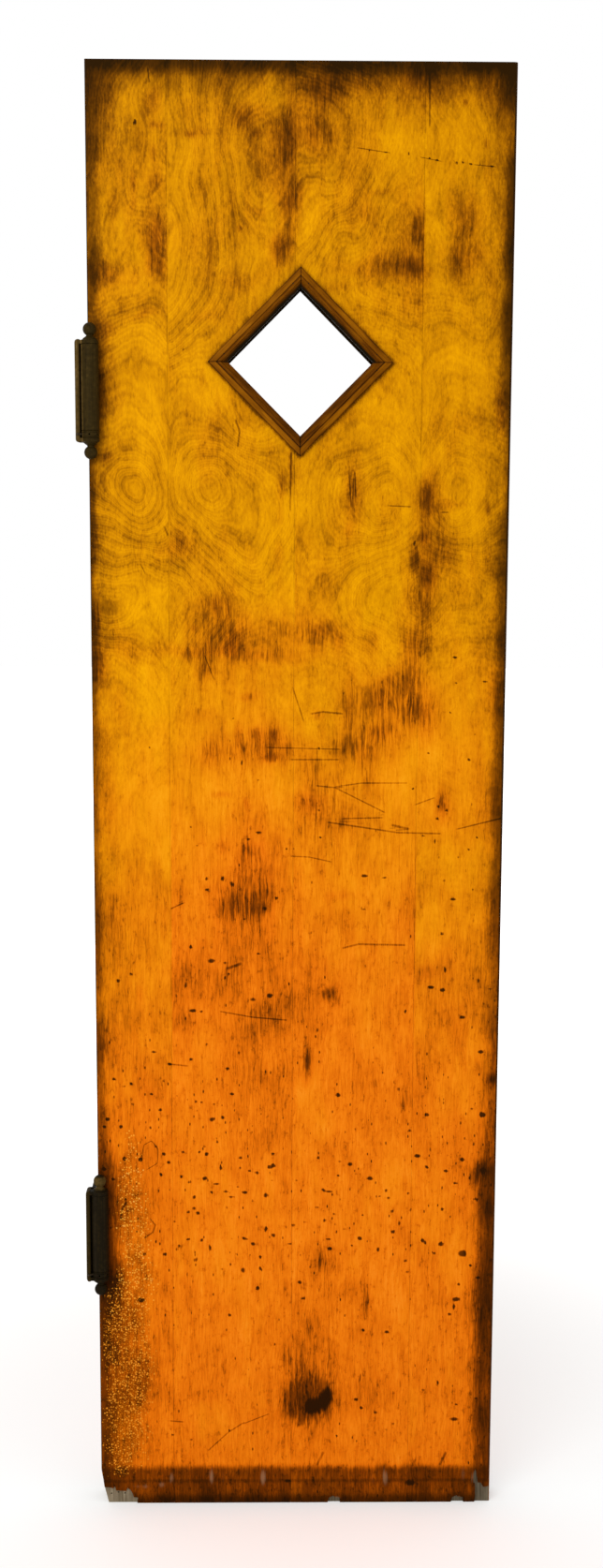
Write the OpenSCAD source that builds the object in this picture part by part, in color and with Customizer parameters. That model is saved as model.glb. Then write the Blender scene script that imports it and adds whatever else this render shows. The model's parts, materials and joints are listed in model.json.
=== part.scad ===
// Flush wooden door leaf with a diamond window, hung on two spring hinges.
// The origin is the middle of the leaf's bottom edge: X along the width with the hinges at -X,
// Y through the thickness with the front at -Y, Z up.

/* [Leaf] */
// Width of the leaf
door_w = 600; // [500:5:900]
// Height of the leaf
door_h = 2134; // [1800:2:2400]
// Thickness of the leaf
door_t = 44; // [40:0.5:60]
// Thickness of the veneer on each face
veneer_t = 3; // [1:0.1:5]
// Width of each stile
stile_w = 70; // [62:1:95]
// Height of the top rail
top_rail_h = 110; // [60:1:200]
// Height of the bottom rail
bottom_rail_h = 180; // [80:1:300]
// Rounding of the hinge edge's arrises
hinge_edge_r = 2; // [0.5:0.1:4]
// Rounding of the lock edge's arrises
lock_edge_r = 6; // [0.5:0.1:15]

/* [Veneer strips] */
// Width of each of the two middle strips
strip_w = 180; // [140:1:220]
// Distance of the middle seam from the leaf's middle, towards the hinges
seam_offset = 8; // [0:0.5:20]
// Open width of the seam between two strips
seam_gap = 0.2; // [0.05:0.05:0.6]

/* [Window] */
// Clear width of the window from corner to corner
window_d = 205; // [120:1:260]
// Distance from the top edge down to the window's middle
window_drop = 408; // [330:1:600]
// Thickness of the boards that line the window
lining_t = 15; // [13:0.5:20]
// Width of the moulding around the window
moulding_w = 20; // [18:0.5:30]
// Height of the moulding above the face
moulding_h = 10; // [8:0.5:15]
// Radius of the moulding's inner cove
cove_r = 7.5; // [4:0.1:8]
// Height of the cove's centre above the moulding's top
cove_lift = 1; // [0.5:0.1:3]
// Radius of the crown across the moulding's top
crown_r = 40; // [25:1:120]
// Rounding of the moulding's outer arris
moulding_edge_r = 2; // [0.5:0.1:4]
// Distance of the quirk from the window's clear edge
quirk_in = 11.4; // [9:0.1:12]
// Width of the quirk
quirk_w = 1.4; // [0.6:0.1:2.4]
// Depth of the quirk
quirk_depth = 1.6; // [0.5:0.1:3]

/* [Brads] */
// Radius of a brad
brad_r = 0.9; // [0.5:0.05:1.2]
// Depth that a brad runs into the lining
brad_depth = 16; // [8:0.5:18]
// Depth of a brad's head below the quirk
brad_sink = 1; // [0.2:0.1:2]
// Distance of a brad from the end of the lining's clear side
brad_inset = 4; // [0:0.5:30]

/* [Wear] */
// Width of the break at the lower hinge corner
break_w = 11; // [4:0.5:20]
// Height of the break at the lower hinge corner
break_h = 56; // [20:1:80]
// Width of the veneer chip beside the break
hinge_chip_w = 56; // [20:1:60]
// Height of the veneer chip beside the break
hinge_chip_h = 28; // [10:1:60]
// Width of the veneer chip at the lower lock corner
lock_chip_w = 25.5; // [10:0.5:35]
// Height of the veneer chip at the lower lock corner
lock_chip_h = 54; // [20:1:90]
// Width of a small chip in the bottom edge
small_chip_w = 19; // [6:0.5:19]
// Height of a small chip in the bottom edge
small_chip_h = 11; // [4:0.5:20]
// Distance of the first small chip from the lock edge
small_chip_1 = 41; // [36:1:90]
// Distance of the second small chip from the lock edge
small_chip_2 = 232; // [150:1:260]
// Radius of the old nail holes laid bare beside the break
nail_r = 1.3; // [0.5:0.1:2]
// Depth of the old nail holes
nail_depth = 8; // [2:0.5:25]

/* [Hinge frame] */
// Distance from the top edge down to the upper hinge's middle
upper_hinge_drop = 450; // [200:1:600]
// Height of the lower hinge's middle above the bottom edge
lower_hinge_z = 440; // [200:1:600]
// Height of the hinge without its ball tips
hinge_h = 142; // [110:1:200]
// Distance of the hinge axis from the hinge edge, towards the leaf
axis_inset = 4.2; // [3:0.1:10]
// Gap between the barrel and the leaf's front face
face_gap = 1.4; // [0.8:0.1:4]
// Thickness of both hinge leaves
leaf_t = 3; // [2:0.1:4]
// Gap between the two hinge leaves
leaf_gap = 2.5; // [1:0.1:5]
// Reach of both hinge leaves behind the front face
leaf_reach = 38; // [36:0.5:40]
// Rounding of the jamb leaf's back corners
leaf_corner_r = 4; // [1:0.5:10]
// Thickness of the side strip
strip_t = 6.7; // [5.5:0.1:10]
// Gap between the side strip and the barrel
strip_gap = 1.8; // [0.8:0.1:4]
// Reach of the side strip in front of the hinge axis
strip_front = 6.8; // [6.2:0.1:9]
// Rounding of the side strip's ends
strip_end_r = 5; // [1:0.1:5.2]
// Thickness of the web from the side strip to the jamb leaf
web_t = 3; // [2:0.1:4]
// Gap between the web and the face of the jamb
web_gap = 1; // [0.3:0.1:2]
// Height of each knuckle
knuckle_h = 6; // [4:0.1:10]
// Rounding of each knuckle's outer arris
knuckle_r = 2.5; // [0.5:0.1:3.5]
// Height of the arm that carries each knuckle
arm_h = 5; // [3:0.1:6]
// Width of the arm that carries each knuckle
arm_w = 12; // [6:0.5:13]

/* [Barrel and spring] */
// Radius of the barrel
barrel_r = 12.4; // [11:0.1:14]
// Wall of the barrel
shell_t = 1.8; // [1:0.1:2.2]
// Bevel of the barrel's and the collar's ends
end_bevel = 0.7; // [0.2:0.1:1.2]
// Radius of the spindle
spindle_r = 4; // [3:0.1:4.6]
// Radius of the spindle's ends inside the ball tips
spindle_end_r = 2.5; // [1.5:0.1:2.8]
// Length of the spindle's ends inside the ball tips
spindle_end_l = 9; // [4:0.5:14]
// Wire of the torsion spring
wire_d = 3; // [1.5:0.1:3.4]
// Middle radius of the spring's coils
coil_r = 7.3; // [6.8:0.1:8]
// Gap between neighbouring coils
coil_gap = 0.5; // [0.2:0.1:3]
// Height of the plug that holds the spring's upper end
anchor_h = 9; // [5:0.5:20]

/* [Collar and tips] */
// Height of the adjusting collar
collar_h = 10; // [7:0.5:16]
// Height of the collar's spigot inside the barrel
spigot_h = 4; // [2:0.5:10]
// Number of pin holes round the collar
collar_holes = 6; // [3:1:8]
// Depth of a pin hole
collar_hole_depth = 5; // [3:0.5:6]
// Number of ring grooves on each side of the pin holes
groove_count = 2; // [1:1:3]
// Width of a ring groove
groove_w = 0.5; // [0.2:0.1:0.8]
// Depth of a ring groove
groove_depth = 0.5; // [0.2:0.1:1]
// Radius of the tension pin
tension_pin_r = 1.3; // [0.8:0.1:2]
// Reach of the tension pin past the collar
tension_pin_reach = 8; // [6:0.5:14]
// Radius of a ball tip
ball_r = 9.4; // [7:0.1:12]
// Height of a ball tip's neck
neck_h = 4.6; // [3:0.1:8]
// Radius of a ball tip's neck
neck_r = 5; // [4:0.1:6.5]
// Radius of a ball tip's foot
foot_r = 9.6; // [6.5:0.1:9.8]
// Thickness of a ball tip's foot
foot_t = 1.2; // [0.5:0.1:2]

/* [Screws] */
// Distance of the near row of screws behind the front face
near_row = 14; // [11:0.5:16]
// Distance of the far row of screws behind the front face
far_row = 30; // [26:0.5:31]
// Height between the two screws of a row in the door's edge
door_screw_pitch = 76; // [40:1:90]
// Height between the two holes of a row in the jamb leaf
jamb_hole_pitch = 90; // [50:1:96]
// Radius of a hole in the jamb leaf
jamb_hole_r = 2.6; // [2:0.1:3.5]
// Radius of a screw's shank
shank_r = 2; // [1.5:0.1:2.5]
// Radius of a screw's head
head_r = 4.5; // [3.6:0.1:5]
// Height of a screw's conical head
head_h = 2.4; // [1.5:0.1:2.5]
// Length of a screw
screw_l = 32; // [20:1:45]
// Length of a screw's point
point_l = 5; // [2:0.5:8]
// Width of the slot in a screw's head
slot_w = 1; // [0.6:0.1:1.4]
// Depth of the slot in a screw's head
slot_depth = 1; // [0.5:0.1:1.4]

/* [Clearances] */
// Gap between turning and fixed ends along the hinge axis
run_gap = 0.3; // [0.2:0.05:0.6]
// Radial clearance of the spindle in the spring's plug
run_clear = 0.06; // [0.03:0.01:0.1]
// Clearance of a fastener, spindle or plug in its hole
fit_clear = 0.05; // [0.03:0.01:0.1]

/* [Hidden] */
$fn = 96;

// Colours
veneer_colour = [0.85, 0.55, 0.14];
raw_colour = [0.62, 0.52, 0.38];
moulding_colour = [0.50, 0.29, 0.10];
bronze = [0.27, 0.22, 0.12];
steel = [0.55, 0.55, 0.56];

// Leaf
over = 10;
core_t = door_t - 2 * veneer_t;
core_w = door_w - 2 * stile_w;
core_h = door_h - top_rail_h - bottom_rail_h;
front_y = -door_t / 2;
hinge_x = -door_w / 2;
lock_x = door_w / 2;
last_strip = 3;
seams = [hinge_x, -seam_offset - strip_w, -seam_offset, -seam_offset + strip_w, lock_x];

// Window
window_z = door_h - window_drop;
clear_half = window_d / sqrt(2) / 2;
lined_half = clear_half + lining_t;
side_angles = [45, 135, 225, 315];
brad_along = clear_half - brad_inset;
brad_top = moulding_h - quirk_depth - brad_sink;

// Outlines of the break and the chips, as shares of their width and height from the corner
break_outline = [[0, 0], [0, 1], [0.27, 0.7], [0.45, 0.43], [0.68, 0.25], [0.9, 0.07], [1, 0]];
hinge_chip_outline = [
    [0, 0], [0, 0.96], [0.25, 0.92], [0.32, 0.87], [0.37, 1], [0.4, 0.75], [0.68, 0.71],
    [0.71, 0.9], [0.79, 0.78], [0.86, 0.55], [0.88, 0.35], [1, 0.32], [0.98, 0]
];
lock_chip_outline = [
    [0, 0], [0, 0.48], [0.41, 0.46], [0.53, 0.59], [0.72, 0.59], [0.84, 0.93], [0.9, 1],
    [1, 0.85], [1, 0.56], [0.9, 0.55], [0.88, 0.15], [0.92, 0]
];
small_chip_outline = [[0, 0], [0, 0.7], [0.42, 0.78], [0.53, 1], [0.9, 0.7], [1, 0]];

// Old nail holes, from the lower hinge corner
nail_places = [[15, 14.5], [25.5, 16.5], [36, 15]];

// Hinges, each in a frame at the middle of its axis
upper_hinge_z = door_h - upper_hinge_drop;
axis_x = hinge_x + axis_inset;
face_v = barrel_r + face_gap;
axis_y = front_y - face_v;
half_h = hinge_h / 2;
inner_z = half_h - knuckle_h;
bore_r = barrel_r - shell_t;
collar_low = -inner_z + run_gap;
collar_high = collar_low + collar_h;
collar_mid = (collar_low + collar_high) / 2;
collar_hole_r = tension_pin_r + fit_clear;
groove_pitch = (collar_h / 2 - end_bevel - collar_hole_r) / (groove_count + 1);
barrel_low = collar_high + run_gap;
barrel_high = inner_z - run_gap;
flange_x = -axis_inset - leaf_t;
plate_x = flange_x - leaf_gap - leaf_t;
side_x = -barrel_r - strip_gap - strip_t;
web_back = face_v - web_gap;
web_front = web_back - web_t;
leaf_back = face_v + leaf_reach;
row_v = [face_v + near_row, face_v + far_row];

// Torsion spring
spring_low = collar_high + spigot_h + run_gap;
spring_high = barrel_high - anchor_h - run_gap;
spring_rise = spring_high - spring_low - wire_d;
spring_turns = spring_rise / (wire_d + coil_gap);
steps_per_turn = 10;
wire_sides = 6;
spring_steps = round(spring_turns * steps_per_turn);

// The tension pin leans past the front of the side strip and touches it
pin_run = -(side_x + strip_t / 2);
pin_back = strip_front - strip_t / 2;
pin_off = strip_t / 2 + tension_pin_r + fit_clear;
pin_angle = asin(pin_off / norm([pin_run, pin_back])) + atan2(pin_back, pin_run);

// Leaf

function scaled(outline, w, h) = [for (p = outline) [p[0] * w, p[1] * h]];

// Plan of the slab with its rounded arrises
module slab_plan() {
    translate([hinge_x + hinge_edge_r, -door_t / 2])
        square([door_w - hinge_edge_r - lock_edge_r, door_t]);
    edge_plan(-1, hinge_edge_r);
    edge_plan(1, lock_edge_r);
}

// One long edge of the slab's plan, on the side of the hinges (-1) or the lock (1)
module edge_plan(side, r) {
    translate([side < 0 ? hinge_x : lock_x - r, -door_t / 2 + r])
        square([r, door_t - 2 * r]);
    for (y = [-1, 1])
        translate([side * (door_w / 2 - r), y * (door_t / 2 - r)])
            circle(r = r);
}

module slab() {
    linear_extrude(door_h)
        slab_plan();
}

// Prism through the leaf with a diamond section, half its side from flat to flat
module window_prism(half) {
    translate([0, 0, window_z])
        rotate([90, 45, 0])
            linear_extrude(door_t + 2 * over, center = true)
                square(2 * half, center = true);
}

// Outline in the plane of the front, from the lower corner at hinge or lock edge, cut to a depth
module corner_cut(outline, side, from_edge, depth) {
    translate([side * (door_w / 2 - from_edge), front_y + depth, 0])
        mirror([side > 0 ? 1 : 0, 0, 0])
            rotate([90, 0, 0])
                linear_extrude(depth + over)
                    polygon(outline);
}

module broken_corner() {
    corner_cut(scaled(break_outline, break_w, break_h), -1, 0, door_t + over);
}

module small_chip(from_edge) {
    corner_cut(scaled(small_chip_outline, small_chip_w, small_chip_h), 1, from_edge, door_t / 2);
}

module nail_holes() {
    for (p = nail_places)
        translate([hinge_x + p[0], -core_t / 2 - over, p[1]])
            rotate([-90, 0, 0])
                cylinder(r = nail_r, h = over + nail_depth);
}

module stile(side) {
    intersection() {
        slab();
        translate([side < 0 ? hinge_x : lock_x - stile_w, -core_t / 2, 0])
            cube([stile_w, core_t, door_h]);
    }
}

module hinge_stile() {
    color(raw_colour)
        difference() {
            stile(-1);
            broken_corner();
            nail_holes();
            for (z = [upper_hinge_z, lower_hinge_z])
                at_hinge(z)
                    at_door_screws()
                        wood_screw(fit_clear);
        }
}

module lock_stile() {
    color(raw_colour)
        stile(1);
}

module rail(low, height) {
    color(raw_colour)
        translate([-core_w / 2, -core_t / 2, low])
            cube([core_w, core_t, height]);
}

module top_rail() {
    rail(door_h - top_rail_h, top_rail_h);
}

module bottom_rail() {
    rail(0, bottom_rail_h);
}

module core() {
    color(raw_colour)
        difference() {
            translate([-core_w / 2, -core_t / 2, bottom_rail_h])
                cube([core_w, core_t, core_h]);
            window_prism(lined_half);
        }
}

// One strip of veneer on the front (-1) or the back (1)
module veneer_strip(k, face) {
    low = seams[k] + (k > 0 ? seam_gap / 2 : 0);
    high = seams[k + 1] - (k < last_strip ? seam_gap / 2 : 0);
    color(veneer_colour)
        difference() {
            intersection() {
                slab();
                translate([low, face < 0 ? front_y : door_t / 2 - veneer_t, 0])
                    cube([high - low, veneer_t, door_h]);
            }
            window_prism(lined_half);
        }
}

module front_veneer_1() {
    color(veneer_colour)
        difference() {
            veneer_strip(0, -1);
            broken_corner();
            corner_cut(scaled(hinge_chip_outline, hinge_chip_w, hinge_chip_h), -1, 0, door_t / 2);
        }
}

module front_veneer_2() {
    veneer_strip(1, -1);
}

module front_veneer_3() {
    color(veneer_colour)
        difference() {
            veneer_strip(2, -1);
            small_chip(small_chip_2);
        }
}

module front_veneer_4() {
    color(veneer_colour)
        difference() {
            veneer_strip(3, -1);
            small_chip(small_chip_1);
            corner_cut(scaled(lock_chip_outline, lock_chip_w, lock_chip_h), 1, 0, door_t / 2);
        }
}

module back_veneer_1() {
    color(veneer_colour)
        difference() {
            veneer_strip(0, 1);
            broken_corner();
        }
}

module back_veneer_2() {
    veneer_strip(1, 1);
}

module back_veneer_3() {
    veneer_strip(2, 1);
}

module back_veneer_4() {
    veneer_strip(3, 1);
}

// Window

// Frame of one side of the window: X away from its middle, Y along the side, Z out of the front
module on_side(k) {
    translate([0, 0, window_z])
        rotate([0, -side_angles[k], 0])
            rotate([90, 0, 0])
                children();
}

// The front face of the leaf (-1) or its back (1) in the frame of one side
module on_face(face) {
    mirror([0, 0, face > 0 ? 1 : 0])
        translate([0, 0, door_t / 2])
            children();
}

// Piece with mitred ends, from the clear edge outwards
module mitred(width) {
    polygon([
        [clear_half, -clear_half],
        [clear_half + width, -clear_half - width],
        [clear_half + width, clear_half + width],
        [clear_half, clear_half]
    ]);
}

// Section of the moulding: X out from the clear edge, Y up from the face
module moulding_section() {
    difference() {
        intersection() {
            union() {
                square([moulding_w, moulding_h - moulding_edge_r]);
                square([moulding_w - moulding_edge_r, moulding_h]);
                translate([moulding_w - moulding_edge_r, moulding_h - moulding_edge_r])
                    circle(r = moulding_edge_r);
            }
            translate([moulding_w / 2, moulding_h - crown_r])
                circle(r = crown_r);
        }
        translate([0, moulding_h + cove_lift])
            circle(r = cove_r);
        translate([quirk_in - quirk_w / 2, moulding_h - quirk_depth])
            square([quirk_w, quirk_depth + over]);
    }
}

// The two brads of one side, or their holes
module side_brads(clear) {
    for (y = [-brad_along, brad_along])
        translate([clear_half + quirk_in, y, -brad_depth - clear])
            cylinder(r = brad_r + clear, h = brad_depth + brad_top + (clear > 0 ? over : 0));
}

module lining(k) {
    color(moulding_colour)
        on_side(k)
            difference() {
                linear_extrude(door_t, center = true)
                    mitred(lining_t);
                for (face = [-1, 1])
                    on_face(face)
                        side_brads(fit_clear);
            }
}

module moulding(k, face) {
    color(moulding_colour)
        on_side(k)
            on_face(face)
                difference() {
                    intersection() {
                        linear_extrude(moulding_h)
                            mitred(moulding_w);
                        rotate([90, 0, 0])
                            linear_extrude(2 * (clear_half + moulding_w), center = true)
                                translate([clear_half, 0])
                                    moulding_section();
                    }
                    side_brads(fit_clear);
                }
}

module brads(face) {
    color(steel)
        for (k = [0 : len(side_angles) - 1])
            on_side(k)
                on_face(face)
                    side_brads(0);
}

module lining_upper_right() { lining(0); }
module lining_upper_left() { lining(1); }
module lining_lower_left() { lining(2); }
module lining_lower_right() { lining(3); }
module front_moulding_upper_right() { moulding(0, -1); }
module front_moulding_upper_left() { moulding(1, -1); }
module front_moulding_lower_left() { moulding(2, -1); }
module front_moulding_lower_right() { moulding(3, -1); }
module back_moulding_upper_right() { moulding(0, 1); }
module back_moulding_upper_left() { moulding(1, 1); }
module back_moulding_lower_left() { moulding(2, 1); }
module back_moulding_lower_right() { moulding(3, 1); }
module front_brads() { brads(-1); }
module back_brads() { brads(1); }

// Hinges

// Frame of a hinge: Z along its axis, Y back towards the leaf's front face
module at_hinge(z) {
    translate([axis_x, axis_y, z])
        children();
}

// Each screw of the door leaf, with Z along the screw into the edge
module at_door_screws() {
    for (y = row_v, z = [-1, 1])
        translate([flange_x, y, z * door_screw_pitch / 2])
            rotate([0, 90, 0])
                children();
}

// Countersunk screw from the plane of its head, grown by a clearance for its hole
module wood_screw(clear) {
    rotate_extrude()
        polygon([
            [0, 0],
            [head_r + clear, 0],
            [shank_r + clear, head_h + clear],
            [shank_r + clear, screw_l - point_l + clear],
            [0, screw_l + clear]
        ]);
}

// Ring with bevelled outer ends
module bevelled_ring(outer, inner, height) {
    rotate_extrude()
        polygon([
            [inner, 0],
            [outer - end_bevel, 0],
            [outer, end_bevel],
            [outer, height - end_bevel],
            [outer - end_bevel, height],
            [inner, height]
        ]);
}

// Plan of the side strip with its round front, and of the web to the jamb leaf
module strip_plan() {
    translate([side_x + strip_t / 2, -pin_back])
        circle(d = strip_t);
    translate([side_x, -pin_back])
        square([strip_t, web_back + pin_back]);
    translate([side_x, web_front])
        square([plate_x + leaf_t - side_x, web_t]);
}

// Front outline of the side strip with its rounded outer ends
module strip_outline() {
    translate([side_x, -half_h + strip_end_r])
        square([strip_end_r, hinge_h - 2 * strip_end_r]);
    translate([side_x + strip_end_r, -half_h])
        square([plate_x + leaf_t - side_x - strip_end_r, hinge_h]);
    for (z = [-1, 1])
        translate([side_x + strip_end_r, z * (half_h - strip_end_r)])
            circle(r = strip_end_r);
}

// Side outline of the jamb leaf, from its web to its rounded back corners
module plate_outline() {
    translate([web_front, -half_h])
        square([leaf_back - leaf_corner_r - web_front, hinge_h]);
    translate([web_front, -half_h + leaf_corner_r])
        square([leaf_back - web_front, hinge_h - 2 * leaf_corner_r]);
    for (z = [-1, 1])
        translate([leaf_back - leaf_corner_r, z * (half_h - leaf_corner_r)])
            circle(r = leaf_corner_r);
}

// Knuckle with a rounded outer arris, and its arm from the side strip
module knuckle() {
    rotate_extrude() {
        square([barrel_r, knuckle_h - knuckle_r]);
        square([barrel_r - knuckle_r, knuckle_h]);
        intersection() {
            translate([barrel_r - knuckle_r, knuckle_h - knuckle_r])
                circle(r = knuckle_r);
            square([barrel_r, knuckle_h]);
        }
    }
    translate([side_x + strip_end_r, -arm_w / 2, 0])
        cube([-side_x - strip_end_r, arm_w, arm_h]);
}

// Countersunk holes of the jamb leaf, sunk from the side that faces the door
module jamb_holes() {
    for (y = row_v, z = [-1, 1])
        translate([plate_x, y, z * jamb_hole_pitch / 2])
            rotate([0, 90, 0]) {
                translate([0, 0, -over])
                    cylinder(r = jamb_hole_r, h = leaf_t + 2 * over);
                translate([0, 0, leaf_t - (head_r - jamb_hole_r)])
                    cylinder(r1 = jamb_hole_r, r2 = head_r, h = head_r - jamb_hole_r);
            }
}

module jamb_leaf() {
    color(bronze)
        difference() {
            union() {
                intersection() {
                    linear_extrude(hinge_h, center = true)
                        strip_plan();
                    rotate([90, 0, 0])
                        linear_extrude(4 * leaf_back, center = true)
                            strip_outline();
                }
                translate([plate_x, 0, 0])
                    rotate([90, 0, 90])
                        linear_extrude(leaf_t)
                            plate_outline();
                for (side = [0, 1])
                    mirror([0, 0, side])
                        translate([0, 0, inner_z])
                            knuckle();
            }
            cylinder(r = spindle_r + fit_clear, h = hinge_h + 2 * over, center = true);
            jamb_holes();
        }
}

module door_leaf() {
    length = barrel_high - barrel_low;
    color(bronze)
        difference() {
            union() {
                translate([0, 0, barrel_low])
                    bevelled_ring(barrel_r, bore_r, length);
                translate([flange_x, 0, barrel_low + end_bevel])
                    cube([leaf_t, leaf_back, length - 2 * end_bevel]);
            }
            cylinder(r = bore_r, h = hinge_h, center = true);
            at_door_screws()
                wood_screw(fit_clear);
        }
}

module spindle() {
    color(steel)
        union() {
            cylinder(r = spindle_r, h = hinge_h, center = true);
            cylinder(r = spindle_end_r, h = hinge_h + 2 * spindle_end_l, center = true);
        }
}

// Ball tip with its neck and foot, standing on the upper knuckle
module ball_tip() {
    color(bronze)
        translate([0, 0, half_h])
            rotate_extrude()
                difference() {
                    union() {
                        polygon([[0, 0], [foot_r, 0], [foot_r, foot_t], [neck_r, neck_h], [0, neck_h]]);
                        square([neck_r, neck_h + ball_r / 2]);
                        intersection() {
                            translate([0, neck_h + ball_r])
                                circle(r = ball_r);
                            translate([0, neck_h])
                                square([ball_r, 2 * ball_r]);
                        }
                    }
                    square([spindle_end_r + fit_clear, spindle_end_l + run_gap]);
                }
}

// Ring grooves round the collar, above (1) or below (-1) its pin holes
module collar_grooves(side) {
    for (k = [1 : groove_count])
        translate([0, 0, collar_mid + side * (collar_hole_r + k * groove_pitch)])
            rotate_extrude()
                translate([barrel_r - groove_depth, -groove_w / 2])
                    square([groove_depth + over, groove_w]);
}

module collar() {
    color(bronze)
        difference() {
            union() {
                translate([0, 0, collar_low])
                    bevelled_ring(barrel_r, spindle_r + fit_clear, collar_h);
                translate([0, 0, collar_high])
                    cylinder(r = bore_r - run_gap, h = spigot_h);
            }
            cylinder(r = spindle_r + fit_clear, h = hinge_h, center = true);
            for (k = [0 : collar_holes - 1])
                translate([0, 0, collar_mid])
                    rotate([0, 90, 180 + pin_angle + 360 * k / collar_holes])
                        translate([0, 0, barrel_r - collar_hole_depth])
                            cylinder(r = collar_hole_r, h = collar_hole_depth + over);
            for (side = [-1, 1])
                collar_grooves(side);
        }
}

module tension_pin() {
    color(steel)
        translate([0, 0, collar_mid])
            rotate([0, 90, 180 + pin_angle])
                translate([0, 0, barrel_r - collar_hole_depth + run_gap])
                    cylinder(r = tension_pin_r, h = collar_hole_depth - run_gap + tension_pin_reach);
}

// One point of the wire: step along the helix, side round the wire
function wire_point(step, side) =
    let (
        turn = 360 * step / steps_per_turn,
        round = 360 * side / wire_sides,
        r = coil_r + wire_d / 2 * cos(round),
        z = spring_low + wire_d / 2 + spring_rise * step / spring_steps
    )
    [r * cos(turn), r * sin(turn), z + wire_d / 2 * sin(round)];

module spring() {
    points = [for (i = [0 : spring_steps], j = [0 : wire_sides - 1]) wire_point(i, j)];
    sides = [
        for (i = [0 : spring_steps - 1], j = [0 : wire_sides - 1])
            let (a = i * wire_sides + j, b = i * wire_sides + (j + 1) % wire_sides)
                each [[a, b, b + wire_sides], [a, b + wire_sides, a + wire_sides]]
    ];
    first = [for (j = [wire_sides - 1 : -1 : 0]) j];
    last = [for (j = [0 : wire_sides - 1]) spring_steps * wire_sides + j];
    color(steel)
        polyhedron(points, concat(sides, [first, last]));
}

module spring_anchor() {
    color(steel)
        translate([0, 0, barrel_high - anchor_h])
            difference() {
                cylinder(r = bore_r - fit_clear, h = anchor_h);
                translate([0, 0, -over])
                    cylinder(r = spindle_r + run_clear, h = anchor_h + 2 * over);
            }
}

module leaf_screws() {
    color(steel)
        at_door_screws()
            difference() {
                wood_screw(0);
                translate([-head_r - over, -slot_w / 2, -over])
                    cube([2 * (head_r + over), slot_w, over + slot_depth]);
            }
}

module upper_jamb_leaf() { at_hinge(upper_hinge_z) jamb_leaf(); }
module upper_door_leaf() { at_hinge(upper_hinge_z) door_leaf(); }
module upper_spindle() { at_hinge(upper_hinge_z) spindle(); }
module upper_top_ball() { at_hinge(upper_hinge_z) ball_tip(); }
module upper_bottom_ball() { at_hinge(upper_hinge_z) mirror([0, 0, 1]) ball_tip(); }
module upper_collar() { at_hinge(upper_hinge_z) collar(); }
module upper_tension_pin() { at_hinge(upper_hinge_z) tension_pin(); }
module upper_spring() { at_hinge(upper_hinge_z) spring(); }
module upper_spring_anchor() { at_hinge(upper_hinge_z) spring_anchor(); }
module upper_leaf_screws() { at_hinge(upper_hinge_z) leaf_screws(); }
module lower_jamb_leaf() { at_hinge(lower_hinge_z) jamb_leaf(); }
module lower_door_leaf() { at_hinge(lower_hinge_z) door_leaf(); }
module lower_spindle() { at_hinge(lower_hinge_z) spindle(); }
module lower_top_ball() { at_hinge(lower_hinge_z) ball_tip(); }
module lower_bottom_ball() { at_hinge(lower_hinge_z) mirror([0, 0, 1]) ball_tip(); }
module lower_collar() { at_hinge(lower_hinge_z) collar(); }
module lower_tension_pin() { at_hinge(lower_hinge_z) tension_pin(); }
module lower_spring() { at_hinge(lower_hinge_z) spring(); }
module lower_spring_anchor() { at_hinge(lower_hinge_z) spring_anchor(); }
module lower_leaf_screws() { at_hinge(lower_hinge_z) leaf_screws(); }

hinge_stile();
lock_stile();
top_rail();
bottom_rail();
core();
front_veneer_1();
front_veneer_2();
front_veneer_3();
front_veneer_4();
back_veneer_1();
back_veneer_2();
back_veneer_3();
back_veneer_4();
lining_upper_right();
lining_upper_left();
lining_lower_left();
lining_lower_right();
front_moulding_upper_right();
front_moulding_upper_left();
front_moulding_lower_left();
front_moulding_lower_right();
back_moulding_upper_right();
back_moulding_upper_left();
back_moulding_lower_left();
back_moulding_lower_right();
front_brads();
back_brads();
upper_jamb_leaf();
upper_door_leaf();
upper_spindle();
upper_top_ball();
upper_bottom_ball();
upper_collar();
upper_tension_pin();
upper_spring();
upper_spring_anchor();
upper_leaf_screws();
lower_jamb_leaf();
lower_door_leaf();
lower_spindle();
lower_top_ball();
lower_bottom_ball();
lower_collar();
lower_tension_pin();
lower_spring();
lower_spring_anchor();
lower_leaf_screws();
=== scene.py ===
import json
import math

import bmesh
import bpy
import numpy as np
from mathutils import Matrix, Vector

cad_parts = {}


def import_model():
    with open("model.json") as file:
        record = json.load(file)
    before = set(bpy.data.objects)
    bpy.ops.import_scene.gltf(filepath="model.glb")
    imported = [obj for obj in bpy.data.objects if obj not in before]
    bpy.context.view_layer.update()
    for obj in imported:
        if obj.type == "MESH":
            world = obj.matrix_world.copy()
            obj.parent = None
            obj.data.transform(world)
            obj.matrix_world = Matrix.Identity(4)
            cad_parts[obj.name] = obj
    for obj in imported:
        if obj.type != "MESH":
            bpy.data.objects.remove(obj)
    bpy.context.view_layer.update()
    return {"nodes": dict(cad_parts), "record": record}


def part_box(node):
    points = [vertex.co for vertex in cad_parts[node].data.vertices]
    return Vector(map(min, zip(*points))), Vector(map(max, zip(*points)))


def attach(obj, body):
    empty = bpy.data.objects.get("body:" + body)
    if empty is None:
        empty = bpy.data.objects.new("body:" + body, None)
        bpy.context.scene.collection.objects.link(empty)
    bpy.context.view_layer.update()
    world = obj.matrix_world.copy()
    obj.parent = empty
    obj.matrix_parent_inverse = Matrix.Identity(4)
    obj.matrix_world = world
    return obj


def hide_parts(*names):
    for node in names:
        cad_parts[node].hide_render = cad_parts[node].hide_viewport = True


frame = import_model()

MM = 0.001
NODES = frame["nodes"]

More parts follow.
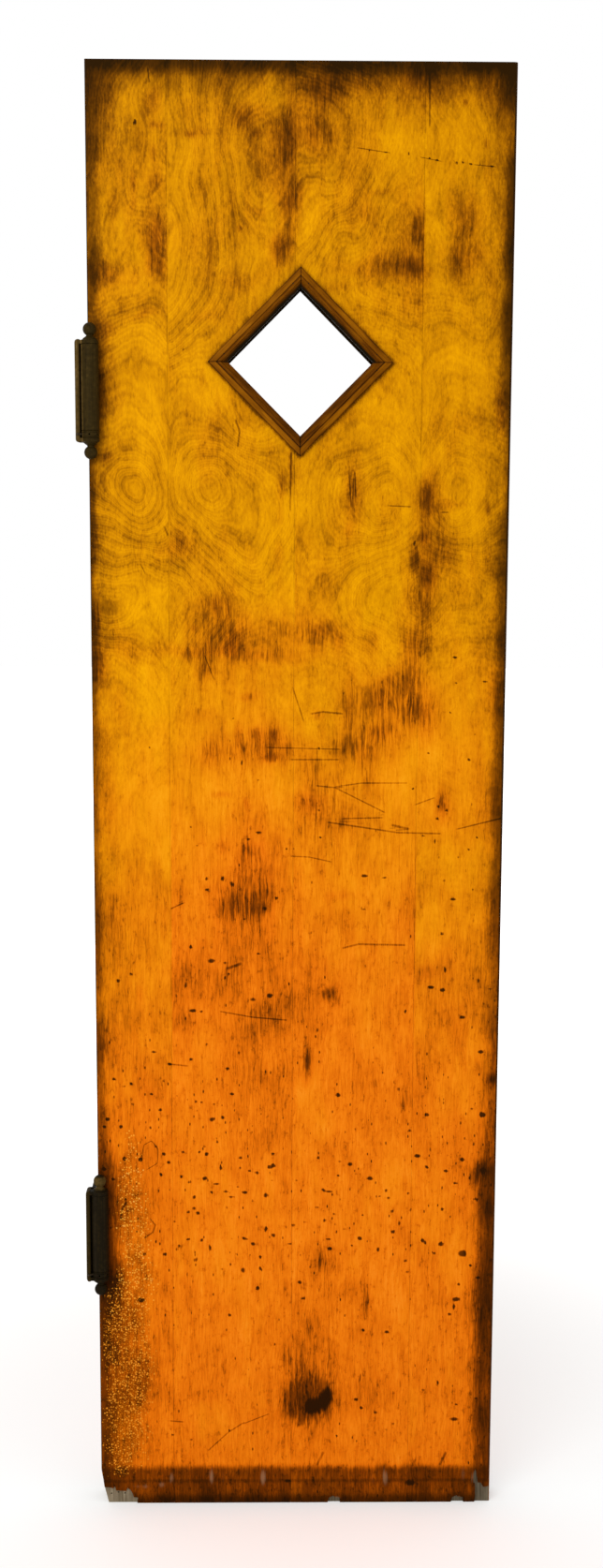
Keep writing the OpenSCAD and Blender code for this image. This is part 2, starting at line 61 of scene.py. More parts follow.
# Places on the leaf, from the frame
LEAF_LOW = Vector((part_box("hinge_stile")[0].x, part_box("front_veneer_2")[0].y, 0.0))
LEAF_HIGH = Vector((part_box("lock_stile")[1].x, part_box("back_veneer_2")[1].y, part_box("lock_stile")[1].z))
FACE_Y = LEAF_LOW.y
SEAMS = [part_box(f"front_veneer_{k}")[0].x for k in (2, 3, 4)]
WINDOW_Z = sum(corner.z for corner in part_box("front_brads")) / 2
MOULDING_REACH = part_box("front_moulding_upper_right")[1].x / math.sqrt(2)
MOULDING_W = 20 * MM
CLEAR_HALF = MOULDING_REACH - MOULDING_W

# Photograph and camera
PHOTO_W, PHOTO_H = 644, 1674
FOCAL_PX = 2000.0
SENSOR_MM = 36.0
CAMERA_PLACE = Vector((-0.0373, -2.7260, 1.5268))
CAMERA_AIM = Vector((0.0040, FACE_Y, 1.1242))
CAMERA_ROLL = math.radians(-0.244)


def camera_axes():
    forward = (CAMERA_AIM - CAMERA_PLACE).normalized()
    level = forward.cross(Vector((0, 0, 1))).normalized()
    rise = level.cross(forward)
    turn, lean = math.cos(CAMERA_ROLL), math.sin(CAMERA_ROLL)
    return level * turn - rise * lean, level * lean + rise * turn, forward


RIGHT, UP, FORWARD = camera_axes()


def photo_pixel(x, z):
    """Pixels of the photograph that show points x, z of the front face."""
    dx, dy, dz = x - CAMERA_PLACE.x, FACE_Y - CAMERA_PLACE.y, z - CAMERA_PLACE.z
    depth = dx * FORWARD.x + dy * FORWARD.y + dz * FORWARD.z
    across = dx * RIGHT.x + dy * RIGHT.y + dz * RIGHT.z
    above = dx * UP.x + dy * UP.y + dz * UP.z
    return PHOTO_W / 2 + FOCAL_PX * across / depth, PHOTO_H / 2 - FOCAL_PX * above / depth


def face_point(px, py):
    """Point of the front face behind a pixel of the photograph."""
    ray = FORWARD + RIGHT * ((px - PHOTO_W / 2) / FOCAL_PX) + UP * ((PHOTO_H / 2 - py) / FOCAL_PX)
    return CAMERA_PLACE + ray * ((FACE_Y - CAMERA_PLACE.y) / ray.y)


# Marks read from the photograph, in its pixels
# Brown stains: middle, half width, half height, depth. A depth below 0 is a worn pale place. The ones at
# (113, 352), (109, 420), (114, 488) and (116, 1372) are painted shadow of the hinges beside their barrels.
STAINS_AND_HINGE_SHADOWS = [
    (163, 108, 9, 16, .75), (163, 133, 4, 4, .7), (171, 134, 4, 4, .6), (206, 143, 20, 6, .4),
    (203, 144, 4, 3, .8), (260, 118, 16, 12, .45), (274, 143, 6, 4, .5), (297, 155, 20, 36, .4),
    (312, 130, 6, 30, .35), (310, 216, 9, 13, .85), (298, 266, 9, 14, .95), (312, 245, 6, 18, .55),
    (276, 227, 10, 5, .35), (256, 245, 2.5, 3, .9), (121, 218, 5, 14, .35), (141, 194, 2.5, 10, .6),
    (141, 218, 2.5, 8, .4), (163, 164, 4, 10, .5), (166, 193, 8, 11, .45), (166, 262, 7, 26, .75),
    (171, 284, 4, 8, .7), (159, 282, 4, 8, .6), (114, 293, 12, 12, .45), (257, 298, 26, 11, .4),
    (343, 95, 22, 18, .65), (333, 140, 13, 22, .5), (370, 88, 30, 14, .4), (446, 80, 18, 8, .6),
    (497, 109, 2.5, 4, .8), (520, 153, 2.5, 6, .6), (406, 204, 10, 3, .3), (491, 235, 22, 18, .38),
    (500, 270, 14, 13, .4), (417, 285, 32, 11, .5), (441, 285, 9, 9, .7), (444, 242, 4, 14, .55),
    (389, 228, 5, 8, .3), (360, 306, 24, 6, .4), (113, 352, 13, 10, .4), (109, 420, 5, 64, .5),
    (114, 488, 8, 6, .5), (157, 335, 14, 4, .45), (216, 338, 14, 5, .35), (300, 520, 5, 16, .55),
    (300, 553, 5, 14, .45), (300, 590, 7, 16, .45), (310, 500, 2, 20, .7), (185, 587, 20, 12, .35),
    (456, 530, 6, 13, 1.3), (454, 574, 6, 6, 1.3), (444, 596, 5, 13, 1.5), (456, 617, 9, 14, 1),
    (478, 543, 22, 6, .45), (470, 584, 16, 20, .4), (377, 518, 5, 16, .5), (372, 566, 4, 8, .5),
    (520, 545, 3, 8, .8), (370, 445, 20, 12, .25), (425, 455, 24, 12, .25), (101, 660, 6, 18, .9),
    (102, 710, 7, 18, .95), (99, 560, 6, 50, .5), (536, 435, 6, 24, .5), (201, 695, 26, 9, .35),
    (231, 650, 12, 10, .45), (230, 649, 2, 8, .6), (243, 655, 2, 10, .6), (249, 682, 9, 11, .5),
    (244, 693, 9, 7, .5), (261, 667, 8, 16, .5), (207, 670, 3, 3, .7), (223, 685, 2.5, 2.5, .5),
    (284, 699, 46, 6, .35), (303, 678, 26, 18, .4), (221, 716, 8, 9, .4), (266, 741, 10, 4, .5),
    (217, 761, 12, 8, .35), (274, 783, 7, 6, .7), (292, 785, 5, 6, .9), (290, 810, 9, 4.5, 1),
    (289, 797, 22, 18, .5), (254, 786, 4, 11, .4), (230, 805, 26, 16, .28), (235, 848, 10, 3, .5),
    (264, 857, 2.5, 6, .7), (270, 910, 10, 8, .55), (236, 905, 6, 8, .45), (447, 646, 15, 18, .6),
    (444, 690, 15, 20, .7), (438, 731, 20, 20, .75), (412, 728, 10, 8, .5), (399, 748, 12, 16, .75),
    (372, 760, 6, 22, .6), (407, 787, 16, 9, .8), (386, 806, 20, 14, .4), (445, 756, 14, 10, .4),
    (347, 678, 20, 18, .5), (344, 674, 10, 8, .5), (362, 683, 6, 8, .6), (398, 686, 13, 14, .4),
    (339, 764, 7, 5, .6), (333, 856, 16, 12, .8), (472, 860, 6, 15, .9), (527, 738, 8, 26, .55),
    (256, 968, 34, 18, .4), (270, 971, 6, 6, .6), (282, 970, 4, 5, .9), (205, 1038, 27, 12, .4),
    (150, 1062, 4, 10, .4), (273, 1088, 30, 14, .3), (278, 1157, 11, 6, .4), (298, 1175, 8, 11, .35),
    (366, 959, 18, 5, .35), (351, 1061, 7, 7, 1.5), (359, 1068, 4, 6, .7), (328, 1131, 4, 20, 1.5),
    (362, 1140, 4, 10, .5), (431, 1179, 4, 6, .9), (400, 1157, 4, 5, .5), (348, 1035, 1.5, 8, .6),
    (526, 1153, 4.5, 6, 1.6), (528, 1132, 2, 14, .7), (516, 1250, 14, 12, .95), (523, 1290, 8, 14, .7),
    (517, 1376, 12, 44, .5), (348, 1350, 13, 15, .5), (390, 1380, 4.5, 26, .5), (391, 1394, 3, 9, 1.0),
    (455, 1370, 5, 30, .35), (302, 1265, 3, 14, .4), (396, 1365, 4, 18, -.4), (512, 1432, 7, 32, .5),
    (511, 1515, 10, 36, .3), (209, 1487, 16, 6, .35), (258, 1487, 8, 8, .35), (469, 1426, 6, 15, .4),
    (388, 1404, 3, 6, .6), (316, 1498, 11, 18, 1.5), (325, 1490, 9, 12, .8), (328, 1510, 13, 8, .7),
    (323, 1460, 5, 13, .75), (342, 1497, 17, 21, 2.2), (320, 1520, 5, 3, .7), (318, 1490, 14, 20, .4),
    (342, 1440, 8, 30, .25), (116, 1372, 14, 24, 1.2), (128, 1352, 6, 8, .3), (345, 92, 28, 24, .15),
    (300, 150, 18, 50, .2), (410, 268, 40, 22, .3), (498, 228, 32, 24, .2), (270, 668, 90, 30, .2),
    (250, 940, 30, 40, .2), (357, 88, 42, 22, .25), (342, 138, 20, 20, .35), (264, 118, 24, 20, .2),
    (306, 180, 14, 60, .5), (318, 208, 9, 16, .45), (303, 266, 11, 18, .55), (165, 262, 9, 32, .55),
    (135, 293, 45, 12, .35), (390, 287, 66, 12, .38), (440, 290, 16, 10, .4), (440, 245, 16, 40, .3),
    (500, 274, 22, 18, .25), (130, 318, 45, 24, .3), (425, 318, 34, 22, .3), (376, 525, 8, 40, .45),
    (456, 546, 14, 32, .65), (450, 660, 20, 66, .6), (418, 755, 40, 36, .9), (376, 800, 22, 28, .55),
    (226, 668, 34, 36, .3), (210, 696, 90, 9, .35), (342, 674, 26, 24, .4), (284, 795, 20, 20, .5),
    (236, 802, 42, 26, .4), (190, 584, 28, 20, .3), (276, 962, 34, 70, .5), (250, 968, 48, 26, .3),
    (136, 995, 44, 60, .25), (268, 1148, 42, 40, .25), (338, 1070, 30, 50, .25), (346, 1348, 22, 26, .5),
    (328, 1470, 28, 44, .55), (243, 1450, 60, 60, .18), (400, 900, 60, 60, .2), (357, 860, 40, 60, .25),
    (470, 1050, 40, 80, .2), (215, 165, 50, 45, -.15), (275, 95, 36, 25, -.2), (357, 98, 32, 24, -.1),
    (425, 95, 40, 32, .26), (490, 95, 44, 34, .3), (528, 88, 26, 34, .25), (140, 300, 35, 32, -.15),
    (150, 420, 40, 40, -.22), (215, 420, 35, 35, -.2), (425, 420, 30, 40, .18), (215, 612, 30, 32, -.25),
    (357, 610, 35, 30, .2), (425, 610, 30, 30, .18), (487, 610, 30, 32, -.2), (357, 722, 30, 30, .3),
    (275, 910, 30, 36, .3), (425, 1400, 34, 60, -.25), (488, 1410, 22, 40, .15), (420, 1572, 34, 14, .45),
    (145, 1572, 30, 14, -.25),
]
# Stains that stop at a seam: the same, and the strip's number, counted from 0 at the left
STRIP_STAINS = [
    (182, 1092, 28, 11, .65, 1), (450, 265, 12, 34, .55, 2), (428, 990, 18, 42, .35, 2),
    (456, 1000, 16, 28, -.4, 3), (450, 1040, 14, 9, .45, 3), (466, 262, 14, 40, -.35, 3),
    (186, 250, 12, 60, -.25, 1), (300, 1080, 14, 26, .2, 1), (326, 200, 12, 40, -.3, 2),
    (186, 420, 8, 16, .3, 1), (462, 90, 20, 16, .25, 3), (470, 500, 24, 60, .3, 3),
    (330, 840, 16, 40, .25, 2), (330, 1400, 16, 40, .25, 2), (330, 1550, 16, 24, .35, 2),
    (238, 1056, 70, 42, .35, 1), (274, 1080, 34, 14, .25, 1),
]
# Small dents: middle, half width, half height
DENTS = [
    (350, 1488, 8, 11), (341, 1500, 12, 12), (330, 1502, 6, 8), (283, 970, 3, 3), (516, 1250, 5, 5),
    (144, 130, 1.8, 4), (221, 938, 2, 3), (238, 938, 2.5, 3.5), (248, 944, 2.8, 4), (221, 950, 4, 1.6),
    (295, 959, 2, 2), (261, 981, 2, 2), (204, 1011, 1.8, 2.6), (226, 1026, 4, 3), (240, 1028, 2.5, 1.6),
    (245, 1040, 2, 2), (240, 1044, 2, 2.6), (276, 1018, 3, 1.5), (126, 1047, 3, 2.6), (140, 1040, 2, 2),
    (198, 1052, 1.6, 5), (270, 1067, 4, 3), (288, 1063, 4, 3), (206, 1079, 4.5, 1.8), (215, 1080, 2, 2),
    (221, 1115, 2.5, 2.5), (164, 1123, 3, 1.8), (255, 1124, 2, 2), (181, 1136, 3, 2), (243, 1141, 2, 2),
    (204, 1131, 2.4, 1.8), (122, 1152, 2, 1.6), (133, 1160, 3, 2.2), (140, 1157, 2, 2),
    (175, 1154, 2, 2.2), (162, 1168, 2, 2), (189, 1170, 2, 2), (200, 1174, 2, 2), (142, 1179, 2.4, 2.4),
    (209, 1176, 2, 2), (215, 1177, 2.8, 2), (228, 1179, 2.2, 2.2), (237, 1180, 2.2, 2.2),
    (248, 1168, 2.6, 1.8), (171, 1185, 2.2, 2.2), (210, 1186, 2, 2), (227, 1195, 3, 2.8),
    (238, 1193, 2.8, 2.6), (115, 1195, 2.8, 2.2), (111, 1203, 2.2, 2), (129, 1203, 2.2, 2.4),
    (161, 1204, 2, 2.6), (389, 935, 4, 2), (411, 937, 3, 1.5), (474, 940, 4, 1.7), (484, 960, 4, 2),
    (505, 950, 2, 2), (388, 971, 4, 1.5), (472, 997, 2.5, 2.5), (339, 1100, 2, 4.5), (460, 1054, 4, 2),
    (473, 1057, 3, 2.4), (475, 1035, 1.6, 5), (511, 1047, 2, 3), (523, 1056, 4.5, 1.7),
    (433, 1080, 1.6, 2.4), (494, 1086, 3.5, 2), (514, 1123, 4, 2.4), (409, 1145, 2, 2),
    (425, 1163, 2, 3.6), (456, 1190, 2.8, 2.6), (361, 1169, 3, 2.4), (504, 1184, 2.4, 2),
    (515, 1190, 3.6, 3.6), (437, 1207, 2.4, 2.4), (166, 1224, 2.2, 2.2), (175, 1232, 3, 2.4),
    (180, 1241, 3, 2), (195, 1230, 2.2, 2), (218, 1224, 3, 2.4), (221, 1232, 2, 2.2),
    (213, 1230, 1.8, 1.8), (232, 1219, 2, 2), (257, 1236, 2.5, 2), (257, 1247, 3, 2.4),
    (274, 1252, 3.5, 2.4), (266, 1250, 1.8, 1.6), (292, 1232, 2, 2), (288, 1246, 2.5, 2.4),
    (292, 1244, 2.2, 2.6), (291, 1260, 2.5, 2.2), (317, 1260, 2.2, 2.4), (236, 1246, 1.8, 3.6),
    (172, 1254, 2, 2.2), (194, 1256, 2, 2.4), (202, 1262, 2.5, 2.4), (219, 1258, 3, 2.2),
    (231, 1264, 5, 1.8), (181, 1270, 2.2, 2), (226, 1273, 2.2, 2), (241, 1272, 3, 2), (254, 1267, 3, 1.8),
    (261, 1273, 4, 1.7), (284, 1276, 4, 3), (247, 1278, 5, 1.8), (208, 1278, 2.4, 2.4),
    (270, 1282, 2, 2.8), (207, 1290, 2.8, 2.4), (201, 1294, 3.2, 2.4), (211, 1295, 2.8, 2.2),
    (242, 1289, 1.8, 4), (187, 1304, 3, 1.7), (313, 1308, 3.5, 2.8), (326, 1305, 4, 1.6),
    (284, 1312, 1.8, 4), (292, 1319, 2.6, 2.4), (201, 1323, 3, 1.7), (215, 1324, 2, 2.2),
    (260, 1322, 2.4, 2), (264, 1323, 2.4, 1.8), (270, 1328, 2.5, 2.2), (247, 1322, 1.8, 1.8),
    (309, 1328, 4, 1.7), (224, 1332, 2, 5), (191, 1330, 2, 2), (189, 1334, 2.4, 2.4), (176, 1339, 3, 1.8),
    (253, 1339, 1.8, 2), (267, 1340, 2, 2), (278, 1342, 2, 2), (209, 1345, 2.6, 4), (246, 1350, 2, 2.4),
    (237, 1355, 1.7, 2), (260, 1356, 2.8, 4), (277, 1354, 1.8, 2.6), (320, 1369, 3, 2.4),
    (275, 1375, 2.5, 2.4), (239, 1379, 1.7, 3), (324, 1386, 3.3, 2.2), (245, 1404, 2.2, 2),
    (151, 1388, 4, 3), (154, 1339, 3.4, 2.8), (134, 1280, 2.5, 2.5), (147, 1301, 3, 2),
    (146, 1315, 2.2, 2.2), (121, 1259, 2.2, 2), (133, 1237, 3, 2.6), (150, 1238, 3, 2.6),
    (111, 1248, 2.5, 2.5), (340, 1236, 2.5, 2.3), (363, 1240, 3, 2.4), (374, 1243, 4, 2.6),
    (380, 1253, 2, 2), (362, 1255, 2.5, 1.5), (395, 1258, 4.5, 2.4), (345, 1270, 2.3, 2),
    (351, 1272, 5, 1.7), (339, 1289, 4, 2.3), (373, 1283, 1.8, 2), (413, 1271, 2.2, 2.2),
    (415, 1279, 3.6, 2.2), (406, 1277, 2.5, 1.5), (436, 1274, 2.5, 2.2), (419, 1293, 2.4, 2.2),
    (438, 1292, 2, 3.4), (387, 1297, 3, 1.6), (357, 1296, 2.2, 2.2), (347, 1303, 2.6, 2.6),
    (358, 1307, 2.4, 2.2), (368, 1312, 3, 1.9), (427, 1306, 1.8, 4), (420, 1315, 2.5, 2.3),
    (384, 1322, 3, 2.4), (351, 1323, 4, 2), (352, 1333, 2.5, 2), (376, 1330, 1.8, 2),
    (404, 1334, 1.6, 3.4), (433, 1346, 2.4, 2.4), (435, 1358, 4, 2.3), (451, 1324, 2.5, 2),
    (454, 1327, 2, 2), (464, 1338, 2.4, 2.2), (471, 1328, 3.8, 3), (483, 1330, 2.5, 2.2),
    (494, 1338, 5, 4), (472, 1291, 2.2, 2.2), (508, 1280, 4, 2.6), (486, 1263, 3, 1.7),
    (476, 1250, 2.5, 2), (456, 1246, 2, 2), (446, 1234, 4.5, 2), (460, 1227, 1.8, 5), (494, 1238, 3, 2.6),
    (490, 1371, 2, 2), (487, 1387, 5, 2.6), (485, 1395, 1.6, 4), (480, 1403, 2.6, 2.2), (502, 1351, 2, 2),
    (511, 1364, 3, 1.5), (388, 1420, 2.4, 1.8), (413, 1422, 2.4, 2), (380, 1494, 3, 2), (386, 1503, 2, 2),
    (401, 1508, 4, 2.6), (420, 1520, 2.4, 2.4), (412, 1526, 2, 2), (443, 1458, 1.8, 2.6),
    (452, 1484, 4, 2), (467, 1477, 1.7, 4.4), (487, 1499, 1.7, 1.7), (485, 1515, 5, 2.6),
    (508, 1493, 3, 1.8), (360, 1533, 2, 1.8), (396, 1543, 1.8, 1.8), (182, 1526, 1.8, 3),
    (185, 1532, 2.6, 1.8), (236, 1538, 2.2, 2.2), (245, 1527, 2, 2), (204, 1537, 2, 2),
    (160, 798, 1.8, 1.8), (249, 767, 1.8, 1.8), (276, 833, 1.6, 1.8), (204, 883, 2.6, 2.2),
    (211, 903, 1.8, 1.8), (276, 889, 4, 2.2), (306, 906, 1.8, 1.8), (266, 896, 3, 2), (258, 814, 1.7, 4),
    (465, 898, 1.8, 4), (452, 892, 2.4, 1.6), (468, 861, 2, 2), (477, 865, 2, 2), (467, 874, 1.8, 1.8),
    (441, 842, 1.8, 1.8), (501, 811, 2, 2), (457, 804, 1.7, 1.7), (481, 761, 1.6, 2),
    (486, 702, 2.5, 1.5), (518, 728, 3.5, 1.8), (487, 729, 1.7, 1.8), (507, 784, 1.7, 1.7),
    (341, 865, 2.5, 2.4), (342, 894, 1.8, 1.6), (501, 907, 1.8, 2.2), (510, 894, 1.7, 1.7),
    (490, 915, 1.8, 1.8), (367, 740, 1.8, 3), (341, 799, 2.2, 1.6), (196, 373, 1.6, 2.6),
    (437, 164, 1.4, 3), (395, 161, 2.6, 1.3), (412, 163, 2, 1.3), (458, 169, 1.4, 1.4),
    (467, 171, 1.8, 1.5), (484, 172, 1.5, 1.5), (488, 174, 1.7, 1.6), (495, 174, 2, 1.5),
    (503, 175, 2, 1.7), (513, 176, 1.8, 1.3), (526, 178, 3, 1.3), (443, 580, 3, 5), (307, 1581, 6, 2.5),
    (438, 1583, 8, 4),
]
# Thin scratches and cracks: half width, then the points along each
SCRATCHES = [
    (.5, (158, 74), (159, 86)), (.5, (313, 735), (324, 769)), (.4, (219, 701), (228, 724)),
    (.35, (286, 798), (362, 800)), (.45, (311, 811), (361, 811)),
    (.45, (311, 914), (330, 915), (353, 920)), (.5, (339, 839), (358, 841), (382, 853), (410, 867)),
    (.5, (359, 840), (386, 836), (434, 836)), (.6, (351, 878), (385, 883), (425, 889), (470, 890)),
    (.45, (367, 874), (408, 873)), (.9, (419, 881), (436, 885)), (.5, (444, 859), (463, 852)),
    (.5, (489, 885), (538, 873)), (.7, (333, 762), (345, 760), (365, 762)), (.5, (183, 970), (196, 964)),
    (1, (243, 1034), (257, 1029)), (.5, (236, 1080), (270, 1086), (305, 1089)),
    (.6, (181, 1136), (200, 1138)), (.7, (367, 1012), (383, 1008), (432, 1009)),
    (.45, (223, 1548), (244, 1529), (260, 1519)), (.35, (260, 1520), (286, 1510)),
    (.9, (339, 1563), (345, 1551)), (.9, (470, 1563), (476, 1551)), (.5, (182, 1517), (195, 1518)),
    (.45, (416, 540), (438, 541)), (.45, (472, 547), (478, 547)),
    (.7, (252, 449), (256, 461), (254, 476)), (.7, (176, 563), (179, 571)), (.5, (459, 82), (459, 134)),
    (.32, (151, 1236), (154, 1222), (162, 1218), (169, 1227), (168, 1242), (158, 1248)),
    (.6, (311, 484), (310, 545)), (.4, (151, 604), (154, 610)), (.5, (373, 506), (375, 540)),
    (.5, (379, 505), (380, 530)), (.5, (336, 442), (338, 455)), (.5, (385, 1468), (384, 1474)),
    (.9, (135, 1284), (131, 1290), (129, 1301)), (.6, (161, 1302), (166, 1308), (163, 1316), (155, 1321)),
    (.4, (383, 158), (415, 163)), (.35, (450, 168), (470, 172)), (.35, (508, 176), (528, 178)),
]
# Pale scuffs: middle, half width, half height, strength
SCUFFS = [
    (226, 1577, 2.6, 9, .8), (281, 1577, 3, 9, .9), (183, 1578, 2.6, 7, .6), (173, 1585, 4, 4, .6),
    (238, 1577, 2.4, 8, .35), (411, 1577, 3, 9, .75), (398, 1577, 2.4, 8, .35), (495, 1573, 3, 10, .4),
    (506, 1577, 3, 7, .7), (156, 1587, 5, 3, .5), (359, 1599, 5, 2, .8), (489, 1599, 5, 2, .8),
    (146, 1587, 4, 3, .4),
]
# Crazed varnish beside the lower hinge, darker and speckled with painted glints: middle, half width, half
# height, strength
CRAZE = [
    (141, 1222, 8, 16, .5), (141, 1255, 14, 22, .8), (146, 1295, 18, 24, .9), (145, 1330, 14, 22, .9),
    (146, 1362, 20, 18, .9), (138, 1392, 22, 22, 1), (134, 1422, 20, 20, .9), (138, 1450, 22, 26, 1),
    (138, 1495, 22, 30, 1), (136, 1540, 20, 26, 1), (126, 1566, 12, 14, .8),
]
# Rings of the figure: distance from the mirror seam, height, half width, half height, number of rings
EYES = [
    (36, 522, 62, 74, 7.0), (36, 522, 26, 36, 2.4), (50, 640, 70, 44, -3.0), (30, 395, 70, 60, 3.0),
    (96, 560, 60, 120, 3.5), (60, 800, 90, 110, 4.0), (20, 985, 60, 90, 4.5), (90, 200, 60, 130, 1.6),
    (40, 250, 50, 80, -1.6), (70, 1180, 80, 120, 4.0), (24, 1380, 60, 110, 4.0),
    (90, 1450, 60, 120, -3.0),
]
# Dirt along the leaf's upright edges: height, how wide it is and how dark. On the hinge side, the rows beside
# the barrels, from 350 to 465 and from 1265 to 1395, are painted shadow of the hinges.
LEFT_EDGE = [
    (60, 34, .26), (140, 30, .26), (180, 12, .30), (260, 15, .30), (330, 12, .27), (350, 18, .26),
    (465, 18, .26), (490, 7, .28), (620, 7, .22), (655, 7, .22), (668, 8, .32), (725, 8, .32),
    (745, 8, .24), (1160, 10, .24), (1200, 15, .32), (1235, 15, .32), (1265, 22, .44), (1340, 22, .44),
    (1360, 28, .42), (1395, 24, .34), (1415, 14, .28), (1600, 13, .30),
]
RIGHT_EDGE = [
    (60, 22, .44), (108, 20, .38), (130, 8, .14), (155, 8, .14), (172, 11, .38), (250, 12, .40),
    (280, 15, .48), (340, 14, .46), (520, 6, .18), (548, 12, .34), (640, 12, .28), (670, 12, .36),
    (780, 13, .40), (900, 15, .32), (1050, 17, .22), (1220, 16, .20), (1270, 22, .40), (1420, 24, .38),
    (1560, 27, .30),
]
# Stains up to this half width wander by this share of what broader ones do
SMALL_STAIN = 9
SMALL_WANDER = 0.3
# The back carries the same stains upside down, at this share of their depth
BACK_STAINS = 0.7
# How far the mottling moves from one strip to the next
STRIP_SHIFT = 570
# Height in mm of the line in the dark band at the foot
FOOT_LINE = 36
# What overlapping stains add up to at most
STAIN_LIMIT = 1.3
# About the size of a pixel on the front face
PIXEL = 1.32 * MM
# Reading of a scratch's distance where none is near
NO_CUT = 9.0
NAIL_HOLE = face_point(404, 382)
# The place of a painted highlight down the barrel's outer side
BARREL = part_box("upper_top_ball")
BARREL_HIGHLIGHT = (BARREL[0] + BARREL[1]) / 2 + Vector((-11.6 * MM, -4 * MM, 0))
# Middle of the band where small pits are thickest
DENTED_Z = face_point(320, 1238).z
LOWER_BALL_Z = sum(corner.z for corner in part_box("lower_top_ball")) / 2
# How much yellower the strips stay half way down
YELLOWER = [0.28, 0.0, 0.0, 0.2]
# How dark the plain varnish is from top to bottom, and how much each strip differs
TONE_HEIGHTS = [60, 120, 200, 350, 450, 600, 720, 860, 1000, 1100, 1250, 1400, 1600]
TONES = [.47, .45, .395, .375, .385, .395, .265, .27, .34, .36, .35, .335, .37]
STRIP_TONES = [0.01, 0.0, -0.01, 0.02]
# Where the varnish turns from amber to orange, from one height to the other
WARM_HEIGHTS = (560, 1130)
# Where the yellower part of those strips starts and ends
YELLOW_START = (860, 940)
YELLOW_END = (1220, 1080)
# Where the figure grows clear, going up and going to the left, and where it first shows above the foot
CLEAR_UPWARD = (900, 600)
CLEAR_LEFTWARD = (440, 330)
CLEAR_OF_FOOT = (1250, 800)
# Where the crazed varnish grows darker
CRAZE_DARKER = (1370, 1430)
# Starts of the two faces' noise
FRONT_SEED = 1
BACK_SEED = 60
# Factors that scatter the noise's lattice
SCATTER_X, SCATTER_Y, SCATTER_SEED, SCATTER_ALL = 374761393, 668265263, 974634777, 1274126177


def smooth(low, high, value):
    t = np.clip((value - low) / (high - low), 0.0, 1.0)
    return t * t * (3 - 2 * t)


def lattice(ix, iy, seed):
    """Fixed value from -1 to 1 at each corner of a square lattice."""
    n = (ix * SCATTER_X + iy * SCATTER_Y + seed * SCATTER_SEED) & 0x7FFFFFFF
    n = ((n ^ (n >> 13)) * SCATTER_ALL) & 0x7FFFFFFF
    return ((n ^ (n >> 16)) & 0xFFFF) / 32767.5 - 1.0


def noise(x, y, seed):
    """Smooth noise from -1 to 1 with a period of about 1."""
    ix, iy = np.floor(x).astype(np.int64), np.floor(y).astype(np.int64)
    fx, fy = x - ix, y - iy
    fx, fy = fx * fx * (3 - 2 * fx), fy * fy * (3 - 2 * fy)
    low = lattice(ix, iy, seed) * (1 - fx) + lattice(ix + 1, iy, seed) * fx
    high = lattice(ix, iy + 1, seed) * (1 - fx) + lattice(ix + 1, iy + 1, seed) * fx
    return low * (1 - fy) + high * fy


def blob(x, y, mark):
    cx, cy, half_w, half_h, depth = mark
    return depth * np.exp(-(((x - cx) / half_w) ** 2 + ((y - cy) / half_h) ** 2))


def dent_depth(mark):
    """Some dents are fainter than others."""
    return 0.8 + 0.2 * math.sin(7 * mark[0] + mark[1])


def strip_place(x):
    """Distance across a strip from its mirror seam, and the strip's number.

    Neighbouring strips mirror each other.
    """
    first, middle, last = SEAMS
    number = (x > first).astype(int) + (x > middle) + (x > last)
    across = np.where(number < 2, np.abs(x - first), np.abs(x - last))
    return across, number


def ellipses(x, y, marks):
    total = np.zeros(len(x))
    for mark in marks:
        total += blob(x, y, mark)
    return total


def edge_band(distance, height, marks):
    """Darkness along an upright edge, of dirt and, beside the hinges, of painted shadow: a band of changing
    width, and a faint wide one.
    """
    heights, widths, depths = zip(*marks)
    wide = np.interp(height, heights, widths)
    near = np.interp(height, heights, depths) * smooth(1.3, 0.3, distance / wide)
    return near + 0.17 * smooth(42, 4, distance)


def end_dirt(top, foot, patchy):
    """Darkness of the dirt along the top edge, and of the dark band at the foot with its line."""
    dirt = 0.38 * smooth(19, 3, top) + 0.28 * smooth(46, 6, top + 5 * patchy)
    dirt += (0.47 + 0.02 * patchy) * smooth(67, 52, foot)
    dirt += 0.10 * smooth(4, 1, np.abs(foot - FOOT_LINE)) + 0.30 * smooth(20, 3, foot)
    return dirt


def nearest_scratch(px, py):
    """Signed distance to the nearest scratch over its half width, and how far it counts there."""
    best = np.full(len(px), 1e9)
    signed = np.full(len(px), NO_CUT)
    near = np.zeros(len(px))
    for half, *points in SCRATCHES:
        for (x0, y0), (x1, y1) in zip(points, points[1:]):
            length = math.hypot(x1 - x0, y1 - y0)
            ux, uy = (x1 - x0) / length, (y1 - y0) / length
            along = (px - x0) * ux + (py - y0) * uy
            side = (py - y0) * ux - (px - x0) * uy
            past = np.maximum(np.maximum(-along, along - length), 0.0)
            reach = np.hypot(side, past)
            nearer = reach < best
            best = np.where(nearer, reach, best)
            signed = np.where(nearer, side / half, signed)
            near = np.where(nearer, smooth(4.5, 2.6, reach) * smooth(2.0, 0.0, past), near)
    return signed, near


def figure_rings(x, px, py, front, seed):
    """Number of growth rings passed at each point, counted from the strip's mirror seam."""
    across, number = strip_place(x)
    across_px = across / PIXEL
    rings = 3.0 * noise(across_px / 90 + 9 * number, py / 150, seed + 4) + 0.03 * across_px
    rings += 0.8 * noise(px / 30, py / 50, seed + 5)
    if front:
        rings += ellipses(across_px, py + 14 * noise(px / 60, py / 70, seed + 3), EYES)
    return rings


def figure_strength(px, py):
    """How clear the figure is: clearest at the upper left and faint at the foot."""
    figure = smooth(*CLEAR_UPWARD, py) * (0.4 + 0.6 * smooth(*CLEAR_LEFTWARD, px)) * 0.6 + 0.4
    return figure * (smooth(*CLEAR_OF_FOOT, py) * 0.8 + 0.2)


